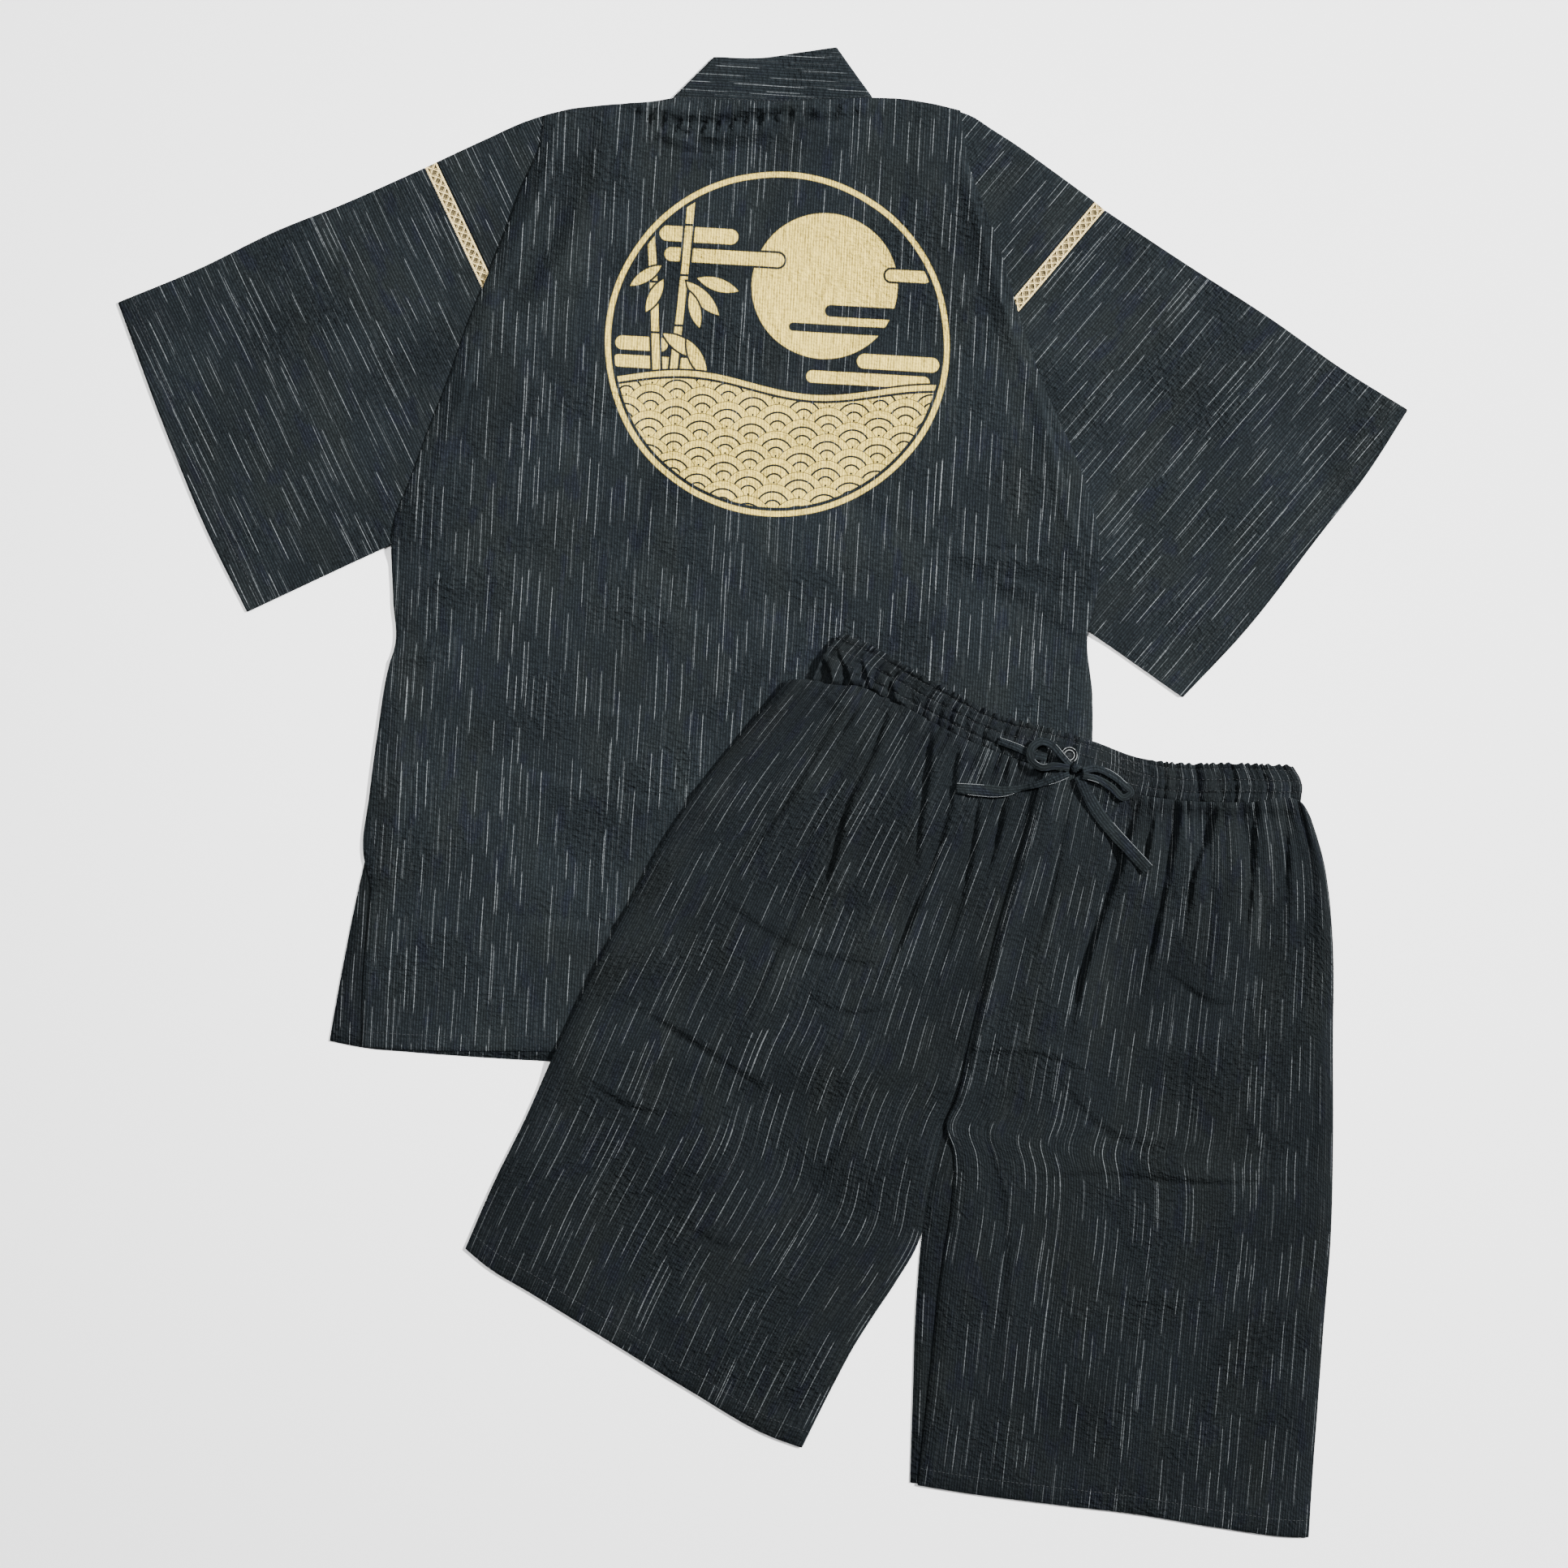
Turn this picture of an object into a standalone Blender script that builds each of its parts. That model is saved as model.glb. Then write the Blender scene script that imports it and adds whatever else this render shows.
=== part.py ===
"""A jinbei set laid flat: a wide-sleeved jacket, back side up, and gathered shorts on its lower corner.

Lengths are millimetres until a mesh is made, which is in metres. Every garment has its own plan: across
to the right, down towards the hem. Left and right are the wearer's: seen from above, the jacket's left
is on the left and the shorts' left is on the right.
"""
import math
from collections import namedtuple

import bmesh
import bpy
import numpy as np

# Driving sizes
METRE = 0.001
WALL = 1.2
LAY_GAP = 0.35
SEAM_GAP = 0.3
BAND_SEAM = 0.8
COLLAR_SEAM = 0.6
SEAM_STAGGER = 4.0
HIDDEN_INSET = 2.0
CENTRE_INSET = 5.0
COLLAR_WALL = 2.0
SLEEVE_LEFT_HALF_ROUND = 274.0
SLEEVE_RIGHT_HALF_ROUND = 300.0
BRAID_WIDTH = 10.6
BRAID_RELIEF = 0.5
BRAID_REPEAT = 12.5
STRING_WIDTH = 5.4
STRING_WALL = 1.1
BUTTON_DIAMETER = 14.0
BUTTON_HEIGHT = 2.6
KNOT_DIAMETER = 9.0
KNOT_HEIGHT = 4.2
KNOT_FOOT = 0.55
SLEEVE_RISE = 0.9
RIGHT_FRONT_SHIFT = -7.0
RIGHT_BAND_SHIFT = -9.0

# Shares of a fold's breadth on its steep side, and of a gather's rise along a flat stretch
STEEP_SHARE = 0.35
FLAT_SHARE = 0.12
# Shares of the wall by which a flat tube's rounded edge stands out, its inner corner and inner edge stand back
NOSE_OUT = 0.5
CORNER_BACK = 1.1
NOSE_BACK = 0.8
# Half sections as shares of radius and height, from the axis round to the axis
BUTTON_SECTION = (
    (0.0, 0.0), (0.8, 0.0), (1.0, 0.45), (0.96, 0.85), (0.84, 1.0), (0.7, 0.78), (0.5, 0.86), (0.38, 0.62),
    (0.0, 0.6),
)
KNOT_SECTION = ((0.0, 0.0), (0.6, 0.06), (0.9, 0.3), (1.0, 0.52), (0.86, 0.8), (0.5, 0.97), (0.0, 1.0))

# A point of an outline in a garment's plan
Point = namedtuple("Point", "across down")
# A crease or ridge: from and to, its rise, its breadth, and the side that falls off steeply
Fold = namedtuple("Fold", "across_a down_a across_b down_b rise breadth steep")
# Gathers along a panel's top edge: how many, their rise, how far down they run, and a flat stretch as
# fractions of the edge, which lies past its end where there is none
Gathers = namedtuple("Gathers", "count rise run flat_from flat_to", defaults=(2.0, 2.0))


class Garment:
    """A garment's plan, turned and placed on the floor."""

    def __init__(self, across, down, turn):
        self.start = np.array([across, down])
        self.turn = math.radians(turn)

    def place(self, plan):
        """Floor coordinates of points of the plan."""
        c = math.cos(self.turn)
        s = math.sin(self.turn)
        across = np.array([c, -s])
        down = np.array([-s, -c])
        return self.start + plan[..., :1] * across + plan[..., 1:] * down


JACKET = Garment(8.4, 570.2, 3.36)
SHORTS = Garment(225.5, 34.8, 0.0)


class Ground:
    """How high the cloth already laid reaches, on a fine square grid over the floor."""

    CELL = 3.0
    LOW = np.array([-620.0, -680.0])
    SIZE = (420, 460)
    MARGIN = 0.05

    def __init__(self):
        self.height = np.zeros(self.SIZE)
        self.waiting = []

    def copy(self):
        """A ground of its own with the same cloth on it."""
        other = Ground()
        other.height = self.height.copy()
        return other

    def spread(self, grid):
        """Points spread evenly over each quad of a grid of points: rows, columns, points, values."""
        step = max(np.abs(np.diff(grid[..., :2], axis=0)).max(), np.abs(np.diff(grid[..., :2], axis=1)).max())
        count = int(step * 1.5 / self.CELL) + 2
        at = np.linspace(0.0, 1.0, count)
        down, across = [a.ravel()[:, None] for a in np.meshgrid(at, at, indexing="ij")]
        a = grid[:-1, :-1, None] * (1 - down) * (1 - across)
        b = grid[:-1, 1:, None] * (1 - down) * across
        c = grid[1:, :-1, None] * down * (1 - across)
        d = grid[1:, 1:, None] * down * across
        return a + b + c + d

    def cells(self, points):
        """Cell numbers of floor points."""
        at = np.round((points[..., :2] - self.LOW) / self.CELL).astype(int)
        return at[..., 0], at[..., 1]

    def under(self, grid):
        """The lowest height at which each point of the grid may lie, clear of all that is below its quads."""
        near = self.height.copy()
        for axis in (0, 1):
            near = np.maximum(near, np.maximum(np.roll(near, 1, axis), np.roll(near, -1, axis)))
        quad = near[self.cells(self.spread(grid))].max(axis=2)
        quad = np.pad(quad, 1)
        reach = np.maximum(np.maximum(quad[:-1, :-1], quad[:-1, 1:]), np.maximum(quad[1:, :-1], quad[1:, 1:]))
        return np.where(reach > 0, reach + LAY_GAP, 0.0)

    def disc(self, centre, radius):
        """Points spread over a small round piece."""
        at = np.linspace(-radius, radius, 9)
        across, down = np.meshgrid(at, at)
        inside = np.hypot(across, down) <= radius + self.MARGIN
        return np.stack([across[inside], down[inside]], 1) + centre

    def seat(self, centre, radius):
        """The height at which a small round piece rests on what is already laid."""
        return self.height[self.cells(self.disc(centre, radius))].max() + LAY_GAP

    def stamp_disc(self, centre, radius, top):
        """Notes a round piece whose upper face is top; it counts from the next layer on."""
        spots = self.disc(centre, radius)
        self.waiting.append(np.column_stack([spots, np.full(len(spots), top)]))

    def stamp(self, grid, top):
        """Notes a sheet whose upper face is top; it counts from the next layer on."""
        self.waiting.append(self.spread(np.dstack([grid, top])))

    def next_layer(self):
        """Adds the noted pieces to the cloth already laid."""
        for noted in self.waiting:
            np.maximum.at(self.height, self.cells(noted), noted[..., 2] + self.MARGIN)
        self.waiting = []


def curve(points, at):
    """A smooth curve through the points, read at fractions of its chord length."""
    points = np.array([tuple(p) for p in points], float)
    chord = np.concatenate([[0.0], np.cumsum(np.hypot(*np.diff(points, axis=0).T))])
    slope = np.gradient(points, chord, axis=0) if len(points) > 2 else None
    want = np.asarray(at) * chord[-1]
    if slope is None:
        return points[0] + (points[1] - points[0]) * (want / chord[-1])[:, None]
    k = np.clip(np.searchsorted(chord, want, side="right") - 1, 0, len(points) - 2)
    length = (chord[k + 1] - chord[k])[:, None]
    u = ((want - chord[k]) / length[:, 0])[:, None]
    from_a = (1 + 2 * u) * (1 - u) ** 2 * points[k] + u * (1 - u) ** 2 * length * slope[k]
    to_b = u**2 * (3 - 2 * u) * points[k + 1] + u**2 * (u - 1) * length * slope[k + 1]
    return from_a + to_b


def patch(top, right, bottom, left, columns, rows, crowd=1.0):
    """A grid of points filling four edges; crowd over 1 draws its rows towards the top edge."""
    s = np.linspace(0.0, 1.0, columns + 1)
    t = np.linspace(0.0, 1.0, rows + 1) ** crowd
    above = curve(top, s)[None]
    below = curve(bottom, s)[None]
    first = curve(left, t)[:, None]
    last = curve(right, t)[:, None]
    s = s[None, :, None]
    t = t[:, None, None]
    corners = (1 - t) * ((1 - s) * above[:, :1] + s * above[:, -1:])
    corners = corners + t * ((1 - s) * below[:, :1] + s * below[:, -1:])
    return (1 - t) * above + t * below + (1 - s) * first + s * last - corners


def relief(plan, folds):
    """Rise of the cloth over each point of a plan, from its folds: steep on one side, soft on the other."""
    rise = np.zeros(plan.shape[:2])
    for fold in folds:
        a = np.array([fold.across_a, fold.down_a])
        along = np.array([fold.across_b, fold.down_b]) - a
        length = np.hypot(*along)
        along = along / length
        off = plan - a
        run = off @ along
        side = (off @ np.array([along[1], -along[0]])) * fold.steep
        breadth = np.where(side > 0, fold.breadth * STEEP_SHARE, fold.breadth)
        past = np.maximum(np.maximum(-run, run - length), 0.0)
        rise += fold.rise * np.exp(-((side / breadth) ** 2) - (past / fold.breadth) ** 2)
    return rise


def gathered(plan, gathers):
    """Rise of gathers that start at the plan's top edge and die out down the panel."""
    across = np.linspace(0.0, 1.0, plan.shape[1])[None]
    turns = gathers.count * across + 0.18 * np.sin(5 * math.pi * across)
    wave = 0.5 - 0.5 * np.cos(2 * math.pi * turns)
    uneven = 0.75 + 0.25 * np.sin(7.3 * math.pi * across + 0.6)
    flat = (across > gathers.flat_from) & (across < gathers.flat_to)
    deep = np.hypot(*np.moveaxis(plan - plan[:1], -1, 0))
    fade = np.clip(1 - deep / gathers.run, 0.0, 1.0) ** 1.3
    return gathers.rise * wave * uneven * np.where(flat, FLAT_SHARE, 1.0) * fade


def new_object(name, points, triangles, finish):
    """One closed solid from points in millimetres and triangles."""
    mesh = bpy.data.meshes.new(name)
    work = bmesh.new()
    made = [work.verts.new(p) for p in np.asarray(points) * METRE]
    for triangle in triangles:
        work.faces.new([made[k] for k in triangle])
    bmesh.ops.recalc_face_normals(work, faces=work.faces)
    work.to_mesh(mesh)
    work.free()
    mesh.shade_smooth()
    mesh.set_sharp_from_angle(angle=math.radians(50))
    piece = bpy.data.objects.new(name, mesh)
    bpy.context.scene.collection.objects.link(piece)
    mesh.materials.append(principled(name, *finish))
    return piece


def principled(name, colour, roughness, metallic):
    """A material of its own for one piece."""
    material = bpy.data.materials.new(name)
    material.use_nodes = True
    shader = material.node_tree.nodes["Principled BSDF"]
    shader.inputs["Base Color"].default_value = (*colour, 1.0)
    shader.inputs["Roughness"].default_value = roughness
    shader.inputs["Metallic"].default_value = metallic
    return material


INDIGO_CLOTH = ((0.018, 0.024, 0.031), 0.86, 0.0)
SHADED_CLOTH = ((0.014, 0.018, 0.023), 0.88, 0.0)
CREAM_BRAID = ((0.62, 0.53, 0.37), 0.8, 0.0)
DARK_BUTTON = ((0.012, 0.013, 0.015), 0.35, 0.0)


def band_of_triangles(first, second, closed):
    """Triangles between two rows of point numbers, always split along the same diagonal."""
    found = []
    count = len(first)
    for k in range(count if closed else count - 1):
        n = (k + 1) % count
        found.append((first[k], second[k], second[n]))
        found.append((first[k], second[n], first[n]))
    return found


def slab(name, floor, under, top, finish):
    """A sheet with a wall: its plan on the floor, and the heights of its lower and upper faces."""
    rows, columns = under.shape
    number = np.arange(rows * columns).reshape(rows, columns)
    lower = number + rows * columns
    points = np.concatenate([np.dstack([floor, top]).reshape(-1, 3), np.dstack([floor, under]).reshape(-1, 3)])
    triangles = []
    for r in range(rows - 1):
        triangles += band_of_triangles(number[r], number[r + 1], False)
        triangles += band_of_triangles(lower[r], lower[r + 1], False)
    ring = np.concatenate([number[0, :-1], number[:-1, -1], number[-1, :0:-1], number[:0:-1, 0]])
    triangles += band_of_triangles(ring, ring + rows * columns, True)
    return new_object(name, points, triangles, finish)


def panel(name, garment, plan, ground, lift=0.0, wall=WALL, finish=INDIGO_CLOTH):
    """Lays a panel on what is already there, with its folds and gathers as the lift."""
    floor = garment.place(plan)
    under = ground.under(floor) + lift
    ground.stamp(floor, under + wall)
    return slab(name, floor, under, under + wall, finish)


def flat_tube(name, garment, plan, ground, lower_every, lift=0.0, finish=INDIGO_CLOTH):
    """A flattened open tube: rows run round its upper half from fold to seam, columns run along it."""
    floor = garment.place(plan)
    rows, columns = floor.shape[:2]
    picked = sorted(set(range(0, rows, lower_every)) | {rows - 1})
    below = floor[picked]
    low_under = ground.under(below)
    inside = ground.copy()
    inside.stamp(below, low_under + WALL)
    inside.next_layer()
    up_under = inside.under(floor) + lift
    ground.stamp(floor, up_under + WALL)

    fold_out = floor[0] - floor[1]
    fold_out = fold_out / np.hypot(*fold_out.T)[:, None]
    seam_out = floor[-1] - floor[-2]
    seam_out = seam_out / np.hypot(*seam_out.T)[:, None]

    def ring(column, inner):
        """One closed ring of points round the tube, on its outer or its inner face."""
        shift = -CORNER_BACK * WALL if inner else 0.0
        nose = -NOSE_BACK * WALL if inner else NOSE_OUT * WALL
        up = floor[:, column].copy()
        up[0] += fold_out[column] * shift
        up[-1] += seam_out[column] * shift
        down = below[:, column].copy()
        down[0] += fold_out[column] * shift
        down[-1] += seam_out[column] * shift
        high = up_under[:, column] + (0.0 if inner else WALL)
        low = low_under[:, column] + (WALL if inner else 0.0)
        fold = floor[0, column] + fold_out[column] * nose
        seam = floor[-1, column] + seam_out[column] * nose
        found = [(*p, z) for p, z in zip(up, high)]
        found.append((*seam, (high[-1] + low[-1]) / 2))
        found += [(*p, z) for p, z in zip(down[::-1], low[::-1])]
        found.append((*fold, (high[0] + low[0]) / 2))
        return found

    outer = [ring(c, False) for c in range(columns)]
    inner = [ring(c, True) for c in range(columns)]
    around = len(outer[0])
    points = np.array(outer + inner).reshape(-1, 3)
    number = np.arange(len(points)).reshape(2 * columns, around)
    triangles = []
    for c in range(columns - 1):
        triangles += band_of_triangles(number[c], number[c + 1], True)
        triangles += band_of_triangles(number[columns + c], number[columns + c + 1], True)
    for end in (0, columns - 1):
        triangles += band_of_triangles(number[end], number[columns + end], True)
    return new_object(name, points, triangles, finish)


def line(*pairs):
    """The points of a stretch of outline, from (across, down) pairs."""
    return [Point(*pair) for pair in pairs]


def shifted(outline, across, down):
    """The same outline moved by a little, for a piece that lies inside or beside another."""
    return [Point(p.across + across, p.down + down) for p in outline]


def along(start, direction, distance):
    """The point that lies a distance from the start in a direction."""
    length = math.hypot(*direction)
    return Point(start.across + direction[0] / length * distance, start.down + direction[1] / length * distance)


# Jacket: the shoulder line, and each side from the fold over the sleeve down to the slit
NECK_LEFT = Point(-82, 3)
NECK_RIGHT = Point(82, -7)
FOLD_LEFT = Point(-187, 23)
FOLD_RIGHT = Point(155, -1)
SLIT_LEFT = Point(-293, 664)
SLIT_RIGHT = Point(294, 664)
HEM_LEFT = Point(-292, 798)
HEM_RIGHT = Point(294, 796)
SHOULDER_LEFT = line((-167, 17), (-134, 11), (-101, 7))
SHOULDER_RIGHT = line((100, -8), (133, -5))
TURNED_TOP_LEFT = line((-265, 63), (-233, 45), (-200, 28))
TURNED_TOP_RIGHT = line((167, 4), (179, 11), (202, 24), (237, 46))
NECK = [NECK_LEFT, *line((-37, 2), (0, 1), (43, -3)), NECK_RIGHT]
SIDE_LEFT = line(
    (-189, 48), (-202, 84), (-214, 124), (-226, 159), (-240, 200), (-252, 243), (-267, 289),
    (-280, 332), (-290, 362), (-288, 427), (-284, 466), (-288, 483), (-294, 537), (-298, 591),
    (-300, 640),
)
SIDE_RIGHT = line(
    (168, 52), (183, 84), (197, 118), (211, 159), (228, 202), (247, 242), (263, 272),
    (279, 308), (290, 345), (290, 395), (285, 420), (292, 475), (295, 536), (298, 591),
    (300, 640),
)
SLIT_EDGE_LEFT = line((-293, 690), (-294, 740))
SLIT_EDGE_RIGHT = line((294, 700), (295, 745))
HEM = line((-249, 798), (-135, 793), (0, 791), (150, 791))
FRONT_SLIT_LEFT = line((-303, 672), (-307, 699), (-314, 752))
FRONT_SLIT_RIGHT = line((303, 672), (307, 699), (314, 752))
FRONT_CORNER_LEFT = Point(-319, 795)
FRONT_CORNER_RIGHT = Point(318, 794)
FRONT_HEM_LEFT = line((-289, 799), (-256, 800), (-155, 801))
FRONT_HEM_RIGHT = line((155, 800), (256, 800), (289, 798))

# Jacket: collar band at the back neck, and its width down the fronts
COLLAR_TOP = line((-50, -33), (-9, -35), (20, -41), (50, -47))
COLLAR_SIDE_LEFT = line((-50, -33), (-66, -15))
COLLAR_SIDE_RIGHT = line((50, -47), (66, -27))
FRONT_EDGE_LEFT = line((-80, 8), (-62, 110), (-2, 260), (38, 400), (52, 560), (54, 785))
BAND_EDGE_LEFT = line((-46, -28), (-18, 100), (42, 245), (82, 392), (97, 560), (99, 785))

# Jacket: sleeves and the braid between them and the body
BRAID_TOP_LEFT = Point(-283, 72)
BRAID_RUN_LEFT = (0.48, 0.877)
BRAID_TOP_RIGHT = Point(279, 74)
BRAID_RUN_RIGHT = (-0.599, 0.801)
SLEEVE_TOP_LEFT = line((-353, 108), (-400, 130), (-466, 167))
SLEEVE_TOP_RIGHT = line((346, 113), (417, 153), (487, 196))
CUFF_TOP_LEFT = Point(-528, 197)
CUFF_TOP_RIGHT = Point(537, 223)
CUFF_LOW_LEFT = Point(-407, 445)
CUFF_LOW_RIGHT = Point(366, 470)
CUFF_LEFT = line((-480, 306), (-442, 384))
CUFF_RIGHT = line((508, 275), (470, 331), (412, 415))
UNDERARM_LEFT = Point(-290, 382)
UNDERARM_RIGHT = Point(285, 420)

BACK_FOLDS = [
    Fold(-100, 24, 8, 14, 1.6, 11, -1),
    Fold(8, 14, 76, 4, 1.2, 9, -1),
    Fold(-190, 60, -222, 168, 1.3, 24, 1),
    Fold(166, 60, 205, 165, 1.2, 24, -1),
    Fold(-284, 466, -240, 448, 1.8, 12, 1),
    Fold(-262, 419, -222, 396, 1.2, 14, 1),
    Fold(150, 360, 280, 371, 1.2, 20, 1),
    Fold(-150, 560, 40, 590, 0.8, 40, 1),
]


def jacket_body(ground):
    """Fronts with their collar bands, one over the other."""
    shoulder_end = Point(-271, 69)
    outer = [shoulder_end, Point(-226, 157), *shifted(SIDE_LEFT[4:], HIDDEN_INSET, 0)]
    outer += [*FRONT_SLIT_LEFT, FRONT_CORNER_LEFT]
    top = [shoulder_end, *shifted(TURNED_TOP_LEFT[1:], 0, 2), *shifted(SHOULDER_LEFT, 0, 2), FRONT_EDGE_LEFT[0]]
    hem = [FRONT_CORNER_LEFT, *FRONT_HEM_LEFT, *line((0, 797)), FRONT_EDGE_LEFT[-1]]
    plan = patch(top, FRONT_EDGE_LEFT, hem, outer, 9, 17)
    panel("jacket_front_left", JACKET, plan, ground, finish=SHADED_CLOTH)
    collar_front("collar_front_left", ground, FRONT_EDGE_LEFT, BAND_EDGE_LEFT)
    ground.next_layer()

    mirrored = [Point(-p.across, p.down + RIGHT_FRONT_SHIFT) for p in FRONT_EDGE_LEFT]
    band = [Point(-p.across, p.down + RIGHT_BAND_SHIFT) for p in BAND_EDGE_LEFT]
    shoulder_end = Point(266, 67)
    outer = [shoulder_end, Point(208, 152), *shifted(SIDE_RIGHT[4:], -HIDDEN_INSET, 0)]
    outer += [*FRONT_SLIT_RIGHT, FRONT_CORNER_RIGHT]
    top = [mirrored[0], *shifted(SHOULDER_RIGHT, 0, 2), *shifted(TURNED_TOP_RIGHT, 0, 2), shoulder_end]
    hem = [mirrored[-1], *line((0, 795)), *FRONT_HEM_RIGHT, FRONT_CORNER_RIGHT]
    plan = patch(top, outer, hem, mirrored, 9, 17)
    panel("jacket_front_right", JACKET, plan, ground, finish=SHADED_CLOTH)
    collar_front("collar_front_right", ground, mirrored, band)
    ground.next_layer()


def collar_front(name, ground, seam, free):
    """The band's stretch down one front edge, between its seam and its free edge."""
    away = math.copysign(BAND_SEAM, free[0].across - seam[0].across)
    seam = shifted(seam, away, 0)
    if seam[0].across < free[0].across:
        plan = patch([seam[0], free[0]], free, [seam[-1], free[-1]], seam, 2, 17)
    else:
        plan = patch([free[0], seam[0]], seam, [free[-1], seam[-1]], free, 2, 17)
    panel(name, JACKET, plan, ground, finish=SHADED_CLOTH)


def sleeve_plan(braid_top, run, half_round, top, cuff, underarm, columns, rows):
    """A sleeve's upper half: rows from its fold to its seam, columns from the braid to the cuff."""
    inner_low = along(braid_top, run, half_round)
    start = [braid_top, inner_low]
    fold = [braid_top, *top, cuff[0]]
    seam = [inner_low, underarm, cuff[-1]]
    return patch(fold, cuff, seam, start, columns, rows)


def braid_plan(braid_top, run, half_round, side):
    """The braid beside the sleeve's edge, on the body's side of it."""
    outward = np.array([-run[1], run[0]]) * side
    near = Point(braid_top.across + outward[0] * SEAM_GAP, braid_top.down + outward[1] * SEAM_GAP)
    far = along(near, outward, BRAID_WIDTH)
    rows = 2 * round(half_round / BRAID_REPEAT)
    inner = [far, along(far, run, half_round)]
    outer = [near, along(near, run, half_round)]
    return patch([near, far], inner, [outer[1], inner[1]], outer, 4, rows)


def braid_relief(shape):
    """Cords along both edges, and between them a lattice that crosses from side to side."""
    rise = np.zeros(shape)
    rise[:, (0, -1)] = BRAID_RELIEF
    rise[::2, 2] = BRAID_RELIEF
    rise[1::2, (1, 3)] = BRAID_RELIEF
    return rise


def sleeves(ground):
    """Both sleeves, the braid that joins them to the body, and the body cloth turned out beside it."""
    sides = (
        ("left", BRAID_TOP_LEFT, BRAID_RUN_LEFT, SLEEVE_LEFT_HALF_ROUND, SLEEVE_TOP_LEFT,
         [CUFF_TOP_LEFT, *CUFF_LEFT, CUFF_LOW_LEFT], UNDERARM_LEFT, -1),
        ("right", BRAID_TOP_RIGHT, BRAID_RUN_RIGHT, SLEEVE_RIGHT_HALF_ROUND, SLEEVE_TOP_RIGHT,
         [CUFF_TOP_RIGHT, *CUFF_RIGHT, CUFF_LOW_RIGHT], UNDERARM_RIGHT, 1),
    )
    for name, top, run, half, fold, cuff, underarm, side in sides:
        plan = sleeve_plan(top, run, half, fold, cuff, underarm, 12, 10)
        across = np.linspace(0.0, 1.0, plan.shape[0])[:, None]
        soft = SLEEVE_RISE * np.sin(math.pi * across) ** 0.7 * np.ones(plan.shape[:2])
        flat_tube("sleeve_" + name, JACKET, plan, ground, 5, lift=soft)
        plan = braid_plan(top, run, half, side)
        flat_tube("braid_" + name, JACKET, plan, ground, 8, braid_relief(plan.shape[:2]), CREAM_BRAID)

    inner_left = along(BRAID_TOP_LEFT, (0.877, -0.48), BRAID_WIDTH + 2 * SEAM_GAP)
    low_left = along(inner_left, BRAID_RUN_LEFT, SLEEVE_LEFT_HALF_ROUND)
    hidden = line((-162, 16), (-150, 160), (-96, 288))
    top = [inner_left, *TURNED_TOP_LEFT[1:], FOLD_LEFT, hidden[0]]
    plan = patch(top, hidden, [low_left, hidden[-1]], [inner_left, low_left], 4, 10)
    panel("back_side_left", JACKET, plan, ground)

    inner_right = along(BRAID_TOP_RIGHT, (-0.801, -0.599), BRAID_WIDTH + 2 * SEAM_GAP)
    low_right = along(inner_right, BRAID_RUN_RIGHT, SLEEVE_RIGHT_HALF_ROUND)
    hidden = line((132, -4), (112, 150), (48, 284))
    top = [hidden[0], *TURNED_TOP_RIGHT, inner_right]
    plan = patch(top, [inner_right, low_right], [hidden[-1], low_right], hidden, 4, 10)
    panel("back_side_right", JACKET, plan, ground)


def collar_back(ground):
    """The band's stretch at the back neck, turned under at both ends."""
    seam = shifted(NECK, 0, -COLLAR_SEAM)
    left = [COLLAR_TOP[0], COLLAR_SIDE_LEFT[1], seam[0]]
    right = [COLLAR_TOP[-1], COLLAR_SIDE_RIGHT[1], seam[-1]]
    plan = patch(COLLAR_TOP, right, seam, left, 12, 4)
    panel("collar_back", JACKET, plan, ground, wall=COLLAR_WALL)


def jacket_back(ground):
    """The back, in one piece, with its slit edges and its folds."""
    top = [FOLD_LEFT, *SHOULDER_LEFT, *NECK, *SHOULDER_RIGHT, FOLD_RIGHT]
    left = [FOLD_LEFT, *SIDE_LEFT, SLIT_LEFT, *SLIT_EDGE_LEFT, HEM_LEFT]
    right = [FOLD_RIGHT, *SIDE_RIGHT, SLIT_RIGHT, *SLIT_EDGE_RIGHT, HEM_RIGHT]
    plan = patch(top, right, [HEM_LEFT, *HEM, HEM_RIGHT], left, 22, 26, 1.1)
    panel("jacket_back", JACKET, plan, ground, relief(plan, BACK_FOLDS))


# Shorts: waistband seam, fly line, sides, hems
BAND_LOW_LEFT_END = Point(-184, -58)
BAND_LOW_FLY = Point(8, 14)
BAND_LOW_RIGHT_END = Point(218, 43)
BAND_LOW_A = line((-166, -54), (-148, -53), (-127, -45), (-92, -27), (-60, -10), (-28, 3))
BAND_LOW_B = line((44, 25), (82, 36), (107, 40), (172, 43))
BAND_HIGH = line(
    (-160, -96), (-133, -84), (-96, -62), (-62, -44), (-30, -28), (5, -19), (50, -6), (83, 6),
    (117, 11), (160, 11), (212, 13),
)
CROTCH = Point(-74, 309)
FLY_LINE = line((3, 29), (-9, 73), (-32, 150), (-54, 239), (-66, 290))
OUTER_A = line(
    (-203, -58), (-219, -40), (-247, -7), (-271, 23), (-299, 64), (-348, 152), (-397, 251),
    (-421, 305), (-447, 358),
)
HEM_A_OUT = Point(-470, 411)
HEM_A = line((-452, 426), (-419, 446), (-352, 487), (-285, 528), (-218, 566))
HEM_A_IN = Point(-193, 575)
INNER_A = line((-82, 334), (-90, 369), (-96, 403), (-116, 439), (-134, 466), (-151, 493), (-165, 519))
OUTER_B = line(
    (226, 55), (231, 70), (237, 92), (241, 117), (244, 150), (245, 251), (245, 328), (243, 405),
    (238, 466), (232, 546), (228, 600),
)
HEM_B_OUT = Point(225, 649)
HEM_B = line((-60, 612), (17, 622), (84, 630), (151, 641), (218, 649))
HEM_B_IN = Point(-97, 606)
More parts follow.
